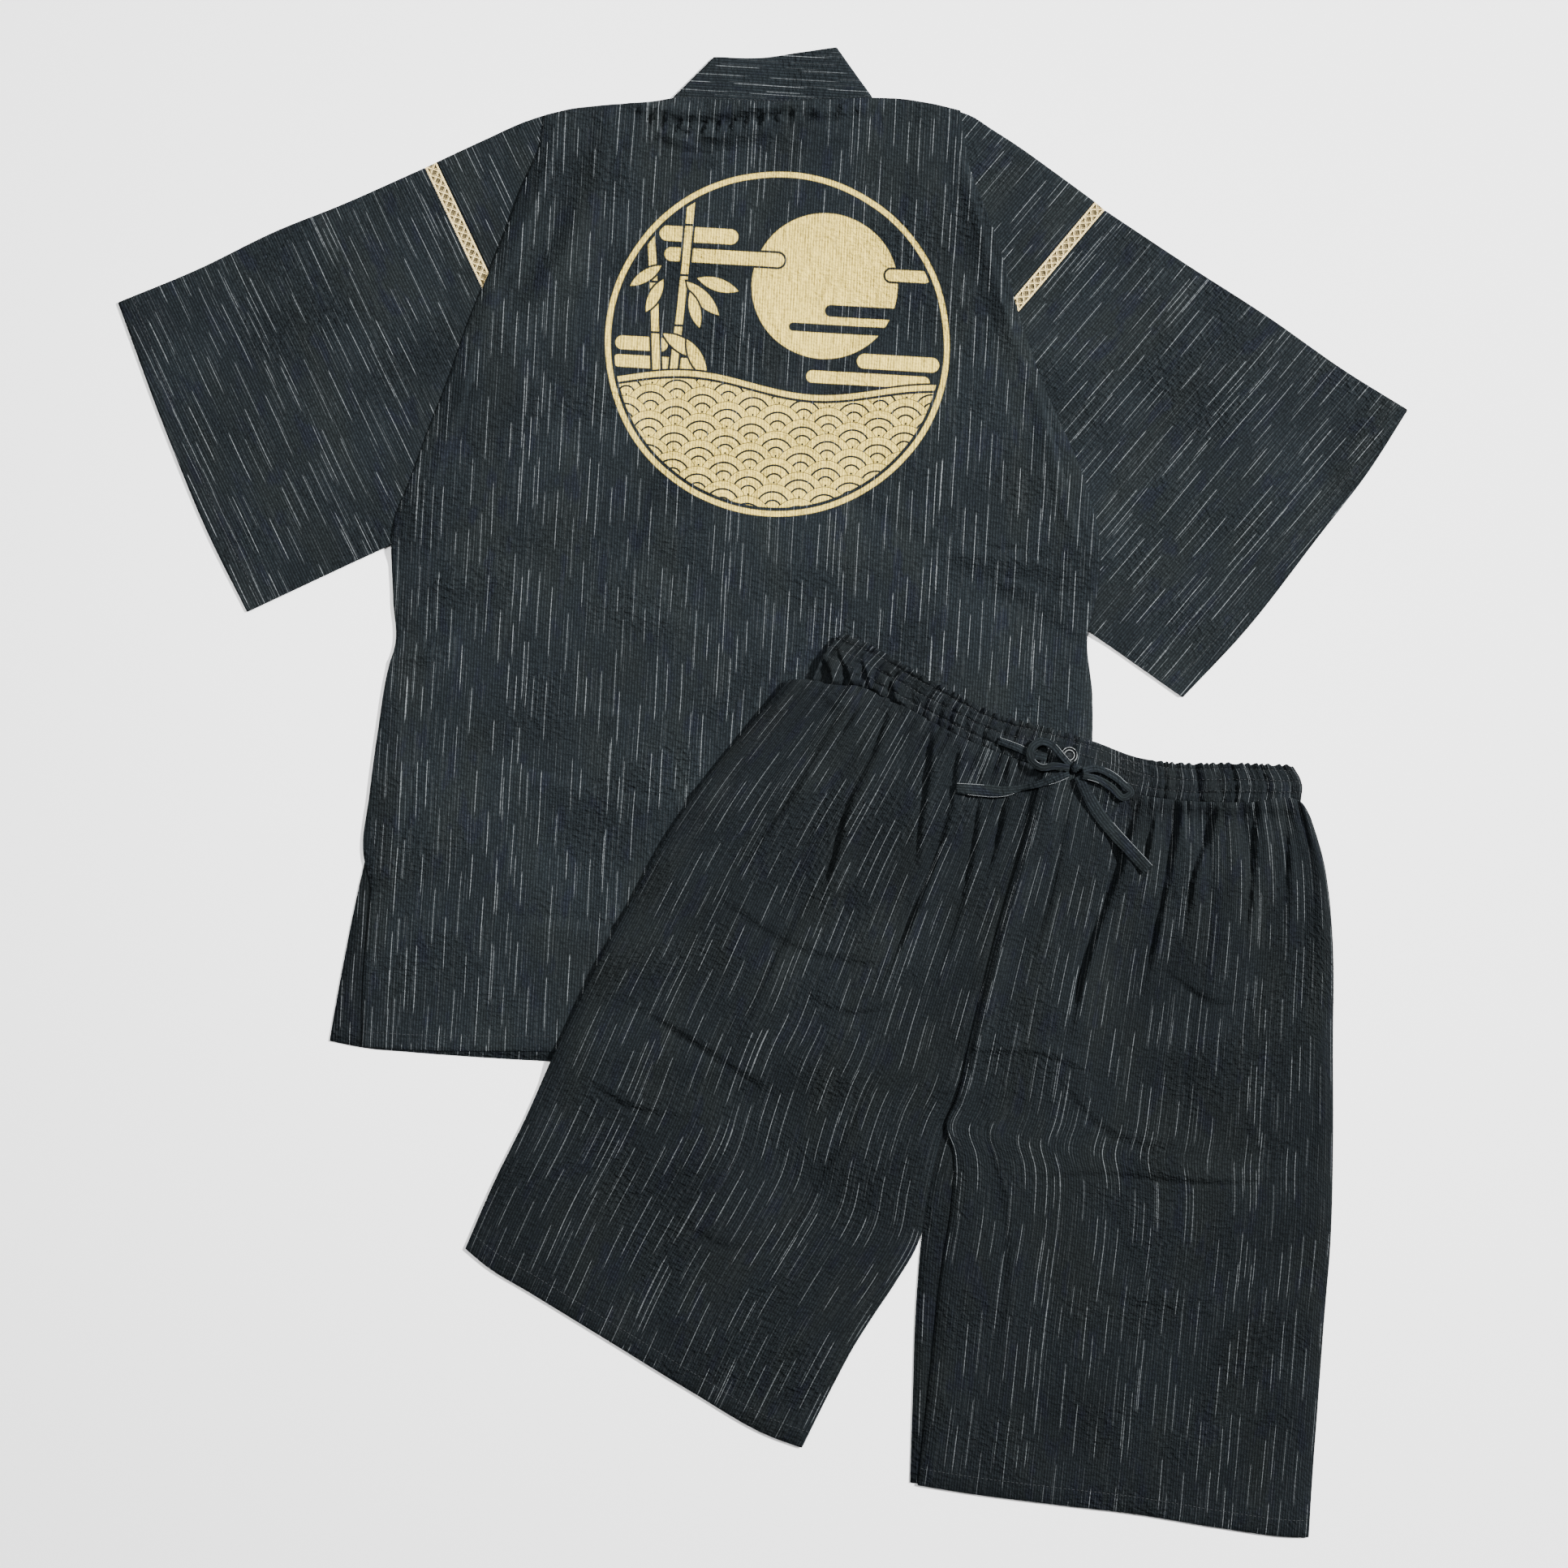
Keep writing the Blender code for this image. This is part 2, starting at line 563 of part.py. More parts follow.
INNER_B = line((-68, 330), (-69, 375), (-76, 420), (-90, 546))
INNER_B_BACK = line((-87, 355), (-93, 397), (-98, 456), (-101, 540))
HEM_B_BACK_IN = Point(-103, 604)

FRONT_A_FOLDS = [
    Fold(-113, -37, -151, 43, 1.6, 12, 1),
    Fold(-151, 43, -165, 92, 1.2, 14, 1),
    Fold(-80, -15, -90, 76, 1.2, 10, 1),
    Fold(-61, -1, -74, 86, 1.8, 12, 1),
    Fold(-74, 86, -121, 193, 1.6, 14, 1),
    Fold(-325, 211, -221, 278, 1.3, 26, -1),
    Fold(-260, 120, -190, 160, 0.8, 30, -1),
]
FRONT_B_FOLDS = [
    Fold(78, 57, 51, 137, 2.4, 15, -1),
    Fold(51, 137, 27, 214, 2.2, 15, -1),
    Fold(152, 44, 134, 97, 1.5, 10, 1),
    Fold(121, 44, 111, 117, 1.4, 10, 1),
    Fold(181, 42, 183, 97, 1.2, 10, 1),
    Fold(-5, 351, 224, 351, 1.2, 20, 1),
    Fold(60, 190, 150, 200, 1.0, 30, 1),
]


def shorts_backs(ground):
    """The back panels and the back of the waistband, over the jacket and the floor."""
    stagger = SEAM_STAGGER + BAND_SEAM
    seam_a = shifted([BAND_LOW_LEFT_END, *BAND_LOW_A, BAND_LOW_FLY], 0, stagger)
    seam_b = shifted([BAND_LOW_FLY, *BAND_LOW_B, BAND_LOW_RIGHT_END], 0, stagger)
    inset = HIDDEN_INSET
    centre = shifted([BAND_LOW_FLY, *FLY_LINE, CROTCH, *INNER_A, HEM_A_IN], -CENTRE_INSET, -1)
    outer = shifted([BAND_LOW_LEFT_END, *OUTER_A, HEM_A_OUT], inset, 1)
    outer[0] = Point(seam_a[0].across + inset, seam_a[0].down)
    inner = [Point(seam_a[-1].across - CENTRE_INSET, seam_a[-1].down), *centre[1:]]
    hem = [outer[-1], *shifted(HEM_A, 0, -inset), inner[-1]]
    plan = patch([outer[0], *seam_a[1:-1], inner[0]], inner, hem, outer, 10, 12)
    panel("shorts_back_right", SHORTS, plan, ground, finish=SHADED_CLOTH)

    outer = shifted([BAND_LOW_RIGHT_END, *OUTER_B, HEM_B_OUT], -inset, 0)
    outer[0] = Point(seam_b[-1].across - inset, seam_b[-1].down)
    outer[-1] = Point(HEM_B_OUT.across - inset, HEM_B_OUT.down - inset)
    inner = [seam_b[0], *FLY_LINE, CROTCH, *INNER_B_BACK, HEM_B_BACK_IN]
    hem = [HEM_B_BACK_IN, *shifted(HEM_B, 0, -inset), outer[-1]]
    plan = patch([inner[0], *seam_b[1:-1], outer[0]], outer, hem, inner, 10, 12)
    panel("shorts_back_left", SHORTS, plan, ground, finish=SHADED_CLOTH)

    low = [BAND_LOW_LEFT_END, *BAND_LOW_A, BAND_LOW_FLY, *BAND_LOW_B, BAND_LOW_RIGHT_END]
    low = shifted(low, 0, SEAM_STAGGER - BAND_SEAM)
    high = shifted(BAND_HIGH, 0, HIDDEN_INSET)
    plan = patch(high, [high[-1], low[-1]], low, [high[0], low[0]], 40, 2)
    wave = Gathers(20, 0.9, 400)
    panel("waistband_back", SHORTS, plan, ground, gathered(plan, wave), finish=SHADED_CLOTH)
    ground.next_layer()


def fly(ground):
    """The overlap behind the centre front, which the front panels lie on."""
    left = line((6, 18), (-9, 75), (-34, 160), (-55, 244))
    right = line((64, 34), (48, 90), (24, 170), (2, 246))
    plan = patch([left[0], right[0]], right, [left[-1], right[-1]], left, 3, 8)
    panel("fly", SHORTS, plan, ground, finish=SHADED_CLOTH)
    ground.next_layer()


def shorts_fronts(ground):
    """Waistband front and front panels; the wearer's left front laps over the right one at the fly."""
    low = [BAND_LOW_LEFT_END, *BAND_LOW_A, BAND_LOW_FLY, *BAND_LOW_B, BAND_LOW_RIGHT_END]
    end_a = [BAND_HIGH[0], Point(-175, -78), BAND_LOW_LEFT_END]
    end_b = [BAND_HIGH[-1], Point(219, 28), BAND_LOW_RIGHT_END]
    plan = patch(BAND_HIGH, end_b, low, end_a, 104, 2)
    wave = Gathers(26, 1.5, 900, 0.57, 0.72)
    panel("waistband_front", SHORTS, plan, ground, gathered(plan, wave))

    seam_a = shifted([BAND_LOW_LEFT_END, *BAND_LOW_A], 0, BAND_SEAM)
    lap = [*line((16, 19), (10, 40), (-2, 80), (-27, 155), (-51, 240)), Point(-66, 292)]
    inner = [*lap, CROTCH, *INNER_A, HEM_A_IN]
    top = [*seam_a, lap[0]]
    outer = [seam_a[0], *OUTER_A, HEM_A_OUT]
    plan = patch(top, inner, [HEM_A_OUT, *HEM_A, HEM_A_IN], outer, 44, 14, 1.35)
    lift = relief(plan, FRONT_A_FOLDS) + gathered(plan, Gathers(11, 1.5, 120))
    panel("shorts_front_right", SHORTS, plan, ground, lift)
    ground.next_layer()

    seam_b = shifted([BAND_LOW_FLY, *BAND_LOW_B, BAND_LOW_RIGHT_END], 0, BAND_SEAM)
    inner = [seam_b[0], *FLY_LINE, CROTCH, *INNER_B, HEM_B_IN]
    outer = [seam_b[-1], *OUTER_B, HEM_B_OUT]
    plan = patch(seam_b, outer, [HEM_B_IN, *HEM_B, HEM_B_OUT], inner, 44, 14, 1.35)
    lift = relief(plan, FRONT_B_FOLDS) + gathered(plan, Gathers(11, 1.5, 120, 0.08, 0.3))
    panel("shorts_front_left", SHORTS, plan, ground, lift)
    ground.next_layer()


def lathe(name, section, size, centre, base, segments, finish):
    """A round solid of a given radius and height on its base, from its half section."""
    radius, height = size
    made = [(*centre, base + height * section[0][1]), (*centre, base + height * section[-1][1])]
    rings = []
    for share, rise in section[1:-1]:
        start = len(made)
        for k in range(segments):
            turn = 2 * math.pi * k / segments
            x = centre[0] + radius * share * math.cos(turn)
            y = centre[1] + radius * share * math.sin(turn)
            made.append((x, y, base + height * rise))
        rings.append(list(range(start, start + segments)))
    triangles = []
    for first, second in zip(rings, rings[1:]):
        triangles += band_of_triangles(first, second, True)
    for tip, ring in ((0, rings[0]), (1, rings[-1])):
        triangles += [(tip, ring[k], ring[(k + 1) % segments]) for k in range(segments)]
    return new_object(name, made, triangles, finish)


def ribbon_plan(route, widths, steps):
    """A ribbon's plan: rows along the route, three points across its width, which may change along it."""
    share = np.linspace(0.0, 1.0, steps + 1)
    middle = curve(route, share)
    width = np.interp(share, np.linspace(0.0, 1.0, len(widths)), widths)[:, None, None]
    run = np.gradient(middle, axis=0)
    side = np.stack([-run[:, 1], run[:, 0]], 1) / np.hypot(*run.T)[:, None]
    across = np.array([1.0, 0.0, -1.0])[None, :, None] * width / 2
    return middle[:, None] + side[:, None] * across


# Drawstring: routes in the shorts' plan, from the knot outwards or from the eyelet to the knot
KNOT = Point(32, 15)
BUTTON = Point(27, 4)
LEAD_ROUTE = line((-31, -8), (-15, -2), (-4, 3), (8, 6))
LOOP_A_ROUTE = line((27, 12), (19, 3), (11, -5), (3, -7), (-4, -2), (-5, 7), (3, 14), (14, 13), (26, 15))
LOOP_B_ROUTE = line((38, 17), (48, 15), (60, 19), (71, 27), (78, 35), (72, 39), (62, 31), (50, 24), (38, 21))
END_A_ROUTE = line((26, 19), (16, 23), (4, 27), (-12, 31), (-26, 34), (-46, 33), (-66, 31))
END_B_ROUTE = line((34, 22), (43, 39), (54, 56), (66, 70), (78, 83), (92, 98))

# Their widths along the route: the left end lies flat, and the right one is twisted before its flat end
LEAD_WIDTHS = (STRING_WIDTH, 6.0)
LOOP_WIDTHS = (5.0, STRING_WIDTH, STRING_WIDTH, 5.0)
END_A_WIDTHS = (6.0, 6.6, 4.6, 4.2, 7.4, 9.0, 8.6, 7.4)
END_B_WIDTHS = (6.0, 8.8, 9.4, 9.4, 9.2)


def fastenings(ground):
    """Button, drawstring ends, loops and the knot over them, each laid on what is below it."""
    where = SHORTS.place(np.array([[BUTTON]], float))[0, 0]
    reach = BUTTON_DIAMETER / 2
    seat = ground.seat(where, reach)
    lathe("button", BUTTON_SECTION, (reach, BUTTON_HEIGHT), where, seat, 24, DARK_BUTTON)
    ground.stamp_disc(where, reach, seat + BUTTON_HEIGHT)
    for name, route, steps, widths in (
        ("drawstring_lead", LEAD_ROUTE, 8, LEAD_WIDTHS),
        ("drawstring_end_left", END_B_ROUTE, 18, END_B_WIDTHS),
        ("drawstring_end_right", END_A_ROUTE, 18, END_A_WIDTHS),
    ):
        plan = ribbon_plan(route, widths, steps)
        panel(name, SHORTS, plan, ground, wall=STRING_WALL)
    ground.next_layer()
    for name, route in (("drawstring_loop_right", LOOP_A_ROUTE), ("drawstring_loop_left", LOOP_B_ROUTE)):
        plan = ribbon_plan(route, LOOP_WIDTHS, 22)
        panel(name, SHORTS, plan, ground, wall=STRING_WALL)
    ground.next_layer()

    where = SHORTS.place(np.array([[KNOT]], float))[0, 0]
    reach = KNOT_DIAMETER / 2
    seat = ground.seat(where, reach * KNOT_FOOT)
    lathe("drawstring_knot", KNOT_SECTION, (reach, KNOT_HEIGHT), where, seat, 14, INDIGO_CLOTH)


def main():
    """Clears the scene, then lays the set piece by piece from the floor up."""
    for old in list(bpy.data.objects):
        bpy.data.objects.remove(old, do_unlink=True)
    ground = Ground()
    jacket_body(ground)
    sleeves(ground)
    collar_back(ground)
    ground.next_layer()
    jacket_back(ground)
    ground.next_layer()
    shorts_backs(ground)
    fly(ground)
    shorts_fronts(ground)
    fastenings(ground)


main()
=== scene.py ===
"""A jinbei set laid flat: cloth, braid, stitching, waist gathers and a tied drawstring on the frame's solids.

Plans are in millimetres, across to the right and down towards the hem, and meshes are in metres. Left and
right are the wearer's: seen from above, the jacket's left is on the left and the shorts' left on the right.
"""

import logging
import math
from dataclasses import dataclass, field
from enum import Enum
from typing import Any, Callable, Optional, Sequence

import bpy
import numpy as np
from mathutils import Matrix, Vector

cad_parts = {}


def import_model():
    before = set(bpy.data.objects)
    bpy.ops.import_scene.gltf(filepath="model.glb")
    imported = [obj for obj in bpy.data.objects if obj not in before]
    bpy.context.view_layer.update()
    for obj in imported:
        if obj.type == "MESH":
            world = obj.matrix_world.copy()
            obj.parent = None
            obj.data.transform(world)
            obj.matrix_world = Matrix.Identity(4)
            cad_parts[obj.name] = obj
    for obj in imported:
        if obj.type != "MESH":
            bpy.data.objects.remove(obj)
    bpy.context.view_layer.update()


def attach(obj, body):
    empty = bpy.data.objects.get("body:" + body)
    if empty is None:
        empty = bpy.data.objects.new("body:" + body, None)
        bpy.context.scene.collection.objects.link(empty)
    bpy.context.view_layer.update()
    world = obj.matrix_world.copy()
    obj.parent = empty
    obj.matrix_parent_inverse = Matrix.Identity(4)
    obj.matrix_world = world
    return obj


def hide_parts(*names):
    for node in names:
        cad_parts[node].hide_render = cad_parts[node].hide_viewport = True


LOG = logging.getLogger("jinbei")
METRE = 0.001
WALL = 1.0
LAY_GAP = 0.3

Grid = np.ndarray
Pair = tuple[float, float]
Place = tuple[float, float, float]
Colour = tuple[float, float, float]
Along = Callable[[Grid], Grid]


class Side(Enum):
    """The wearer's side, with the direction in which it lies across the jacket's plan."""

    LEFT = -1
    RIGHT = 1

    @property
    def word(self) -> str:
        """The side's name as it ends a piece's name."""
        return self.name.lower()


class Edge(Enum):
    """A sheet's edges, as its plan lies."""

    TOP = "top"
    BOTTOM = "bottom"
    LEFT = "left"
    RIGHT = "right"


class Slot(Enum):
    """The slot of finishes that a piece belongs to."""

    CLOTH = "streaked_cloth"
    BRAID = "braid"
    RIBBON = "ribbon"
    BUTTON = "button"


class Held(Enum):
    """How a sheet of cloth is held."""

    LAID = "laid"
    GATHERED = "gathered"


class FarEnd(Enum):
    """Where a ribbon's far end is."""

    KNOT = "object"
    FREE = "bare"


# ---- curves and plans


def curve(points: Sequence[Pair], at: Grid) -> Grid:
    """A smooth curve through points.

    Args:
        points: the points that it passes through, in any number of dimensions.
        at: fractions of its chord length.

    Returns:
        One point for each fraction.
    """
    knots = np.array([tuple(p) for p in points], float)
    chord = np.concatenate([[0.0], np.cumsum(np.linalg.norm(np.diff(knots, axis=0), axis=1))])
    want = np.asarray(at, float) * chord[-1]
    if len(knots) == 2:
        return knots[0] + (knots[1] - knots[0]) * (want / chord[-1])[:, None]
    slope = np.gradient(knots, chord, axis=0)
    k = np.clip(np.searchsorted(chord, want, side="right") - 1, 0, len(knots) - 2)
    length = (chord[k + 1] - chord[k])[:, None]
    u = ((want - chord[k]) / length[:, 0])[:, None]
    out = (1 + 2 * u) * (1 - u) ** 2 * knots[k] + u * (1 - u) ** 2 * length * slope[k]
    return out + u**2 * (3 - 2 * u) * knots[k + 1] + u**2 * (u - 1) * length * slope[k + 1]


def length_of(points: Sequence[Pair]) -> float:
    """The length of a line through points."""
    return float(np.linalg.norm(np.diff(np.array([tuple(p) for p in points], float), axis=0), axis=1).sum())


def patch(
    top: Sequence[Pair], right: Sequence[Pair], bottom: Sequence[Pair], left: Sequence[Pair], step: float,
) -> Grid:
    """A grid of points that fills four edges.

    Args:
        top: the upper edge, from left to right.
        right: the right edge, downwards.
        bottom: the lower edge, from left to right.
        left: the left edge, downwards.
        step: about how far apart the points are.

    Returns:
        Points in rows and columns.
    """
    columns = max(2, round(max(length_of(top), length_of(bottom)) / step))
    rows = max(2, round(max(length_of(left), length_of(right)) / step))
    s = np.linspace(0.0, 1.0, columns + 1)
    t = np.linspace(0.0, 1.0, rows + 1)
    above = curve(top, s)[None]
    below = curve(bottom, s)[None]
    first = curve(left, t)[:, None]
    last = curve(right, t)[:, None]
    s = s[None, :, None]
    t = t[:, None, None]
    corners = (1 - t) * ((1 - s) * above[:, :1] + s * above[:, -1:])
    corners = corners + t * ((1 - s) * below[:, :1] + s * below[:, -1:])
    return (1 - t) * above + t * below + (1 - s) * first + s * last - corners


def moved(line: Sequence[Pair], across: float, down: float) -> list[Pair]:
    """The same line, moved a little."""
    return [(p[0] + across, p[1] + down) for p in line]


def ahead(start: Pair, direction: Pair, distance: float) -> Pair:
    """The point at a distance from the start in a direction."""
    size = math.hypot(*direction)
    return (start[0] + direction[0] / size * distance, start[1] + direction[1] / size * distance)


def unit(vectors: Grid) -> Grid:
    """Rows of vectors, each brought to a length of 1."""
    return vectors / np.maximum(np.linalg.norm(vectors, axis=1), 1e-9)[:, None]


def cut_coordinates(plan: Grid, corner: Pair, outward: Pair, run: Pair) -> Grid:
    """Cloth coordinates of a plan, measured from a corner outwards and along the run, in metres."""
    off = plan - np.array(corner)
    return np.dstack([off @ np.array(outward), off @ np.array(run)]) * METRE


def wander(at: Grid, seed: float) -> Grid:
    """A smooth uneven wave between about -1 and 1 over a length given in turns.

    Args:
        at: the length.
        seed: tells one wave from another.

    Returns:
        A height for each place.
    """
    first = np.sin(2 * math.pi * at + seed)
    second = np.sin(2 * math.pi * at * 2.37 + seed * 2.1)
    return 0.5 * first + 0.3 * second + 0.2 * np.sin(2 * math.pi * at * 0.43 + seed * 3.7)


def fraction_grid(shape: tuple[int, ...]) -> tuple[Grid, Grid]:
    """Fractions across and down a grid of points.

    Args:
        shape: its rows and columns.

    Returns:
        The fractions across and the fractions down.
    """
    s = np.linspace(0.0, 1.0, shape[1])[None, :]
    t = np.linspace(0.0, 1.0, shape[0])[:, None]
    return s * np.ones(shape[:2]), t * np.ones(shape[:2])


def reach_grid(plan: Grid, axis: int) -> Grid:
    """How far each point lies along its row (axis 1) or column (axis 0), measured on the plan."""
    gaps = np.linalg.norm(np.diff(plan, axis=axis), axis=2)
    return np.insert(np.cumsum(gaps, axis=axis), 0, 0.0, axis=axis)


@dataclass(frozen=True)
class Garment:
    """A garment's plan, turned and set down on the floor."""

    across: float
    down: float
    turn: float

    def place(self, plan: Grid) -> Grid:
        """Floor coordinates of points of the plan.

        Args:
            plan: the points.

        Returns:
            Their places on the floor, in millimetres.
        """
        c = math.cos(math.radians(self.turn))
        s = math.sin(math.radians(self.turn))
        start = np.array([self.across, self.down])
        return start + plan[..., :1] * np.array([c, -s]) + plan[..., 1:] * np.array([-s, -c])


JACKET = Garment(8.4, 570.2, 3.36)
SHORTS = Garment(225.5, 34.8, 0.0)


class Ground:
    """How high the cloth already laid reaches, on a square grid over the floor."""

    CELL = 2.0
    LOW = np.array([-560.0, -650.0])
    SIZE = (570, 650)
    RAMP = 3
    GAP_OPENS = 0.3

    def __init__(self) -> None:
        """Starts with a bare floor."""
        self.height = np.zeros(self.SIZE)
        self.waiting: list[Grid] = []

    def copy(self) -> "Ground":
        """Another ground with the same cloth on it.

        Returns:
            The other ground.
        """
        other = Ground()
        other.height = self.height.copy()
        return other

    @staticmethod
    def _widened(field: Grid, times: int) -> Grid:
        """Each cell takes the highest of its neighbours, several times.

        Args:
            field: a height for each cell.
            times: how often.

        Returns:
            The wider field.
        """
        out = field.copy()
        for _ in range(times):
            for axis in (0, 1):
                out = np.maximum(out, np.maximum(np.roll(out, 1, axis), np.roll(out, -1, axis)))
        return out

    @staticmethod
    def _softened(field: Grid, times: int) -> Grid:
        """Each cell takes the mean of its neighbours, several times.

        Args:
            field: a height for each cell.
            times: how often.

        Returns:
            The softer field.
        """
        out = field.copy()
        for _ in range(times):
            for axis in (0, 1):
                out = 0.5 * out + 0.25 * (np.roll(out, 1, axis) + np.roll(out, -1, axis))
        return out

    def read(self, field: Grid, floor: Grid) -> Grid:
        """A field's values at floor points, between its cells.

        Args:
            field: a height for each cell.
            floor: the points.

        Returns:
            A height for each point.
        """
        at = (floor[..., :2] - self.LOW) / self.CELL
        low = np.clip(np.floor(at).astype(int), 0, np.array(self.SIZE) - 2)
        part = at - low
        i, j = low[..., 0], low[..., 1]
        a, b = part[..., 0], part[..., 1]
        near = field[i, j] * (1 - a) * (1 - b) + field[i + 1, j] * a * (1 - b)
        return near + field[i, j + 1] * (1 - a) * b + field[i + 1, j + 1] * a * b

    def rest(self, floor: Grid, soft: int = 0) -> Grid:
        """The underside of cloth laid over what is there, with soft ramps at its steps.

        Args:
            floor: the cloth's points on the floor.
            soft: how many more times the ramps are softened.

        Returns:
            A height for each point.
        """
        ramp = self._softened(self._widened(self.height, self.RAMP), 2 * self.RAMP + soft)
        need = self._widened(self.height, 1)
        height = np.maximum(self.read(ramp, floor), self.read(need, floor))
        return height + LAY_GAP * (1 - np.exp(-height / self.GAP_OPENS))

    def note(self, floor: Grid, top: Grid) -> None:
        """Notes a sheet whose upper face is top; it counts from the next layer on.

        Args:
            floor: its points.
            top: its upper face's heights.
        """
        grid = np.dstack([floor, top])
        step = max(np.abs(np.diff(floor, axis=0)).max(), np.abs(np.diff(floor, axis=1)).max())
        count = int(step * 1.3 / self.CELL) + 2
        for t in np.linspace(0.0, 1.0, count):
            for s in np.linspace(0.0, 1.0, count):
                spot = grid[:-1, :-1] * (1 - t) * (1 - s) + grid[:-1, 1:] * (1 - t) * s
                self.waiting.append(spot + grid[1:, :-1] * t * (1 - s) + grid[1:, 1:] * t * s)

    def settle(self) -> None:
        """Adds the noted sheets to the cloth already laid."""
        for spots in self.waiting:
            at = np.round((spots[..., :2] - self.LOW) / self.CELL).astype(int)
            np.maximum.at(self.height, (at[..., 0], at[..., 1]), spots[..., 2])
        self.waiting = []


@dataclass(frozen=True)
class Crease:
    """A ridge or, with a negative rise, a valley that a maker's hand would leave in laid cloth."""

    path: tuple[Pair, ...]
    rise: float
    breadth: float
    steep: int = 0
    sharp: float = 2.0

    STEEP_SHARE = 0.13
    TROUGH = 0.36
    TROUGH_AT = 2.4
    SLIM_END = 0.55

    def lift(self, plan: Grid) -> Grid:
        """The rise of the cloth over each point of a plan.

        Args:
            plan: the points.

        Returns:
            A rise for each point.
        """
        line = curve(self.path, np.linspace(0.0, 1.0, 25))
        start = line[:-1]
        run = np.diff(line, axis=0)
        size = np.linalg.norm(run, axis=1)
        out = np.zeros(plan.shape[:2])
        near = np.abs(plan - line.mean(axis=0)).max(axis=2) < length_of(self.path) + 4 * self.breadth
        spots = plan[near]
        off = spots[:, None] - start[None]
        along = np.clip((off * run).sum(axis=2) / size**2, 0.0, 1.0)
        apart = off - along[..., None] * run
        distance = np.linalg.norm(apart, axis=2)
        best = distance.argmin(axis=1)
        pick = np.arange(len(best))
        cross = run[best, 0] * apart[pick, best, 1] - run[best, 1] * apart[pick, best, 0]
        where = (best + along[pick, best]) / len(start)
        belly = np.sin(math.pi * np.clip(where, 0.05, 0.95))
        breadth = self.breadth * (self.SLIM_END + (1 - self.SLIM_END) * belly)
        steep = cross * self.steep > 0
        breadth = np.where(steep, breadth * self.STEEP_SHARE, breadth)
        away = distance[pick, best] / breadth
        trough = np.exp(-((away - self.TROUGH_AT) ** 2)) * np.where(steep, self.TROUGH, 0.0)
        swell = np.sin(math.pi * np.clip(where, 0.04, 0.96)) ** 0.6
        swell = swell * (1 + 0.2 * np.sin(9 * where + self.breadth))
        out[near] = self.rise * swell * (np.exp(-(away**self.sharp)) - trough)
        return out


def creased(plan: Grid, creases: Sequence[Crease]) -> Grid:
    """The summed rise of several creases over a plan."""
    return sum((crease.lift(plan) for crease in creases), np.zeros(plan.shape[:2]))


def edge_fade(plan: Grid, reach: float) -> Grid:
    """Rises from 0 at a plan's edges to 1 at a distance inside them.

    Args:
        plan: the points.
        reach: the distance.

    Returns:
        A share for each point.
    """
    down = reach_grid(plan, 0)
    across = reach_grid(plan, 1)
    near = np.minimum(np.minimum(down, down[-1:] - down), np.minimum(across, across[:, -1:] - across))
    return np.clip(near / reach, 0.0, 1.0) ** 0.7


def swells(plan: Grid, seed: float, size: float) -> Grid:
    """Soft uneven waves over a plan, between about -1 and 1."""
    across, down = plan[..., 0] / size, plan[..., 1] / size
    return 0.6 * wander(across * 0.31 + 0.22 * np.sin(down), seed) + 0.6 * wander(down * 0.27, seed + 1.3)


# ---- shaders


class Value:
    """A shader socket that takes part in arithmetic; each sign adds a Math node."""

    def __init__(self, shader: "Shader", socket: Any) -> None:
        """Wraps an output socket."""
        self.shader = shader
        self.socket = socket

    def _math(self, operation: str, *others: Any, first: bool = True) -> "Value":
        """A Math node on this value and others, in either order."""
        given = (self, *others) if first else (*others, self)
        return self.shader.node("ShaderNodeMath", {"operation": operation}, dict(enumerate(given)))

    def __add__(self, other: Any) -> "Value":
        """Sum."""
        return self._math("ADD", other)

    def __radd__(self, other: Any) -> "Value":
        """Sum, from the right."""
        return self._math("ADD", other)

    def __sub__(self, other: Any) -> "Value":
        """Difference."""
        return self._math("SUBTRACT", other)

    def __rsub__(self, other: Any) -> "Value":
        """Difference, from the right."""
        return self._math("SUBTRACT", other, first=False)

    def __mul__(self, other: Any) -> "Value":
        """Product."""
        return self._math("MULTIPLY", other)

    def __rmul__(self, other: Any) -> "Value":
        """Product, from the right."""
        return self._math("MULTIPLY", other)

    def __truediv__(self, other: Any) -> "Value":
        """Quotient."""
        return self._math("DIVIDE", other)

    def __abs__(self) -> "Value":
        """Size without sign."""
        return self._math("ABSOLUTE")

    def lowest(self, other: Any) -> "Value":
        """The smaller of two values."""
        return self._math("MINIMUM", other)

    def highest(self, other: Any) -> "Value":
        """The larger of two values."""
        return self._math("MAXIMUM", other)

    def floor(self) -> "Value":
        """The whole number below."""
        return self._math("FLOOR")

    def rest(self) -> "Value":
        """The part after the whole number."""
        return self._math("FRACT")

    def sine(self) -> "Value":
        """Sine of radians."""
        return self._math("SINE")

    def root(self) -> "Value":
        """Square root."""
        return self._math("SQRT")

    def step(self, low: float, high: float) -> "Value":
        """Runs smoothly from 0 at low to 1 at high, where low may also lie above high."""
        settings = {"interpolation_type": "SMOOTHSTEP", "clamp": True}
        return self.shader.node("ShaderNodeMapRange", settings, {0: self, 1: low, 2: high, 3: 0.0, 4: 1.0})


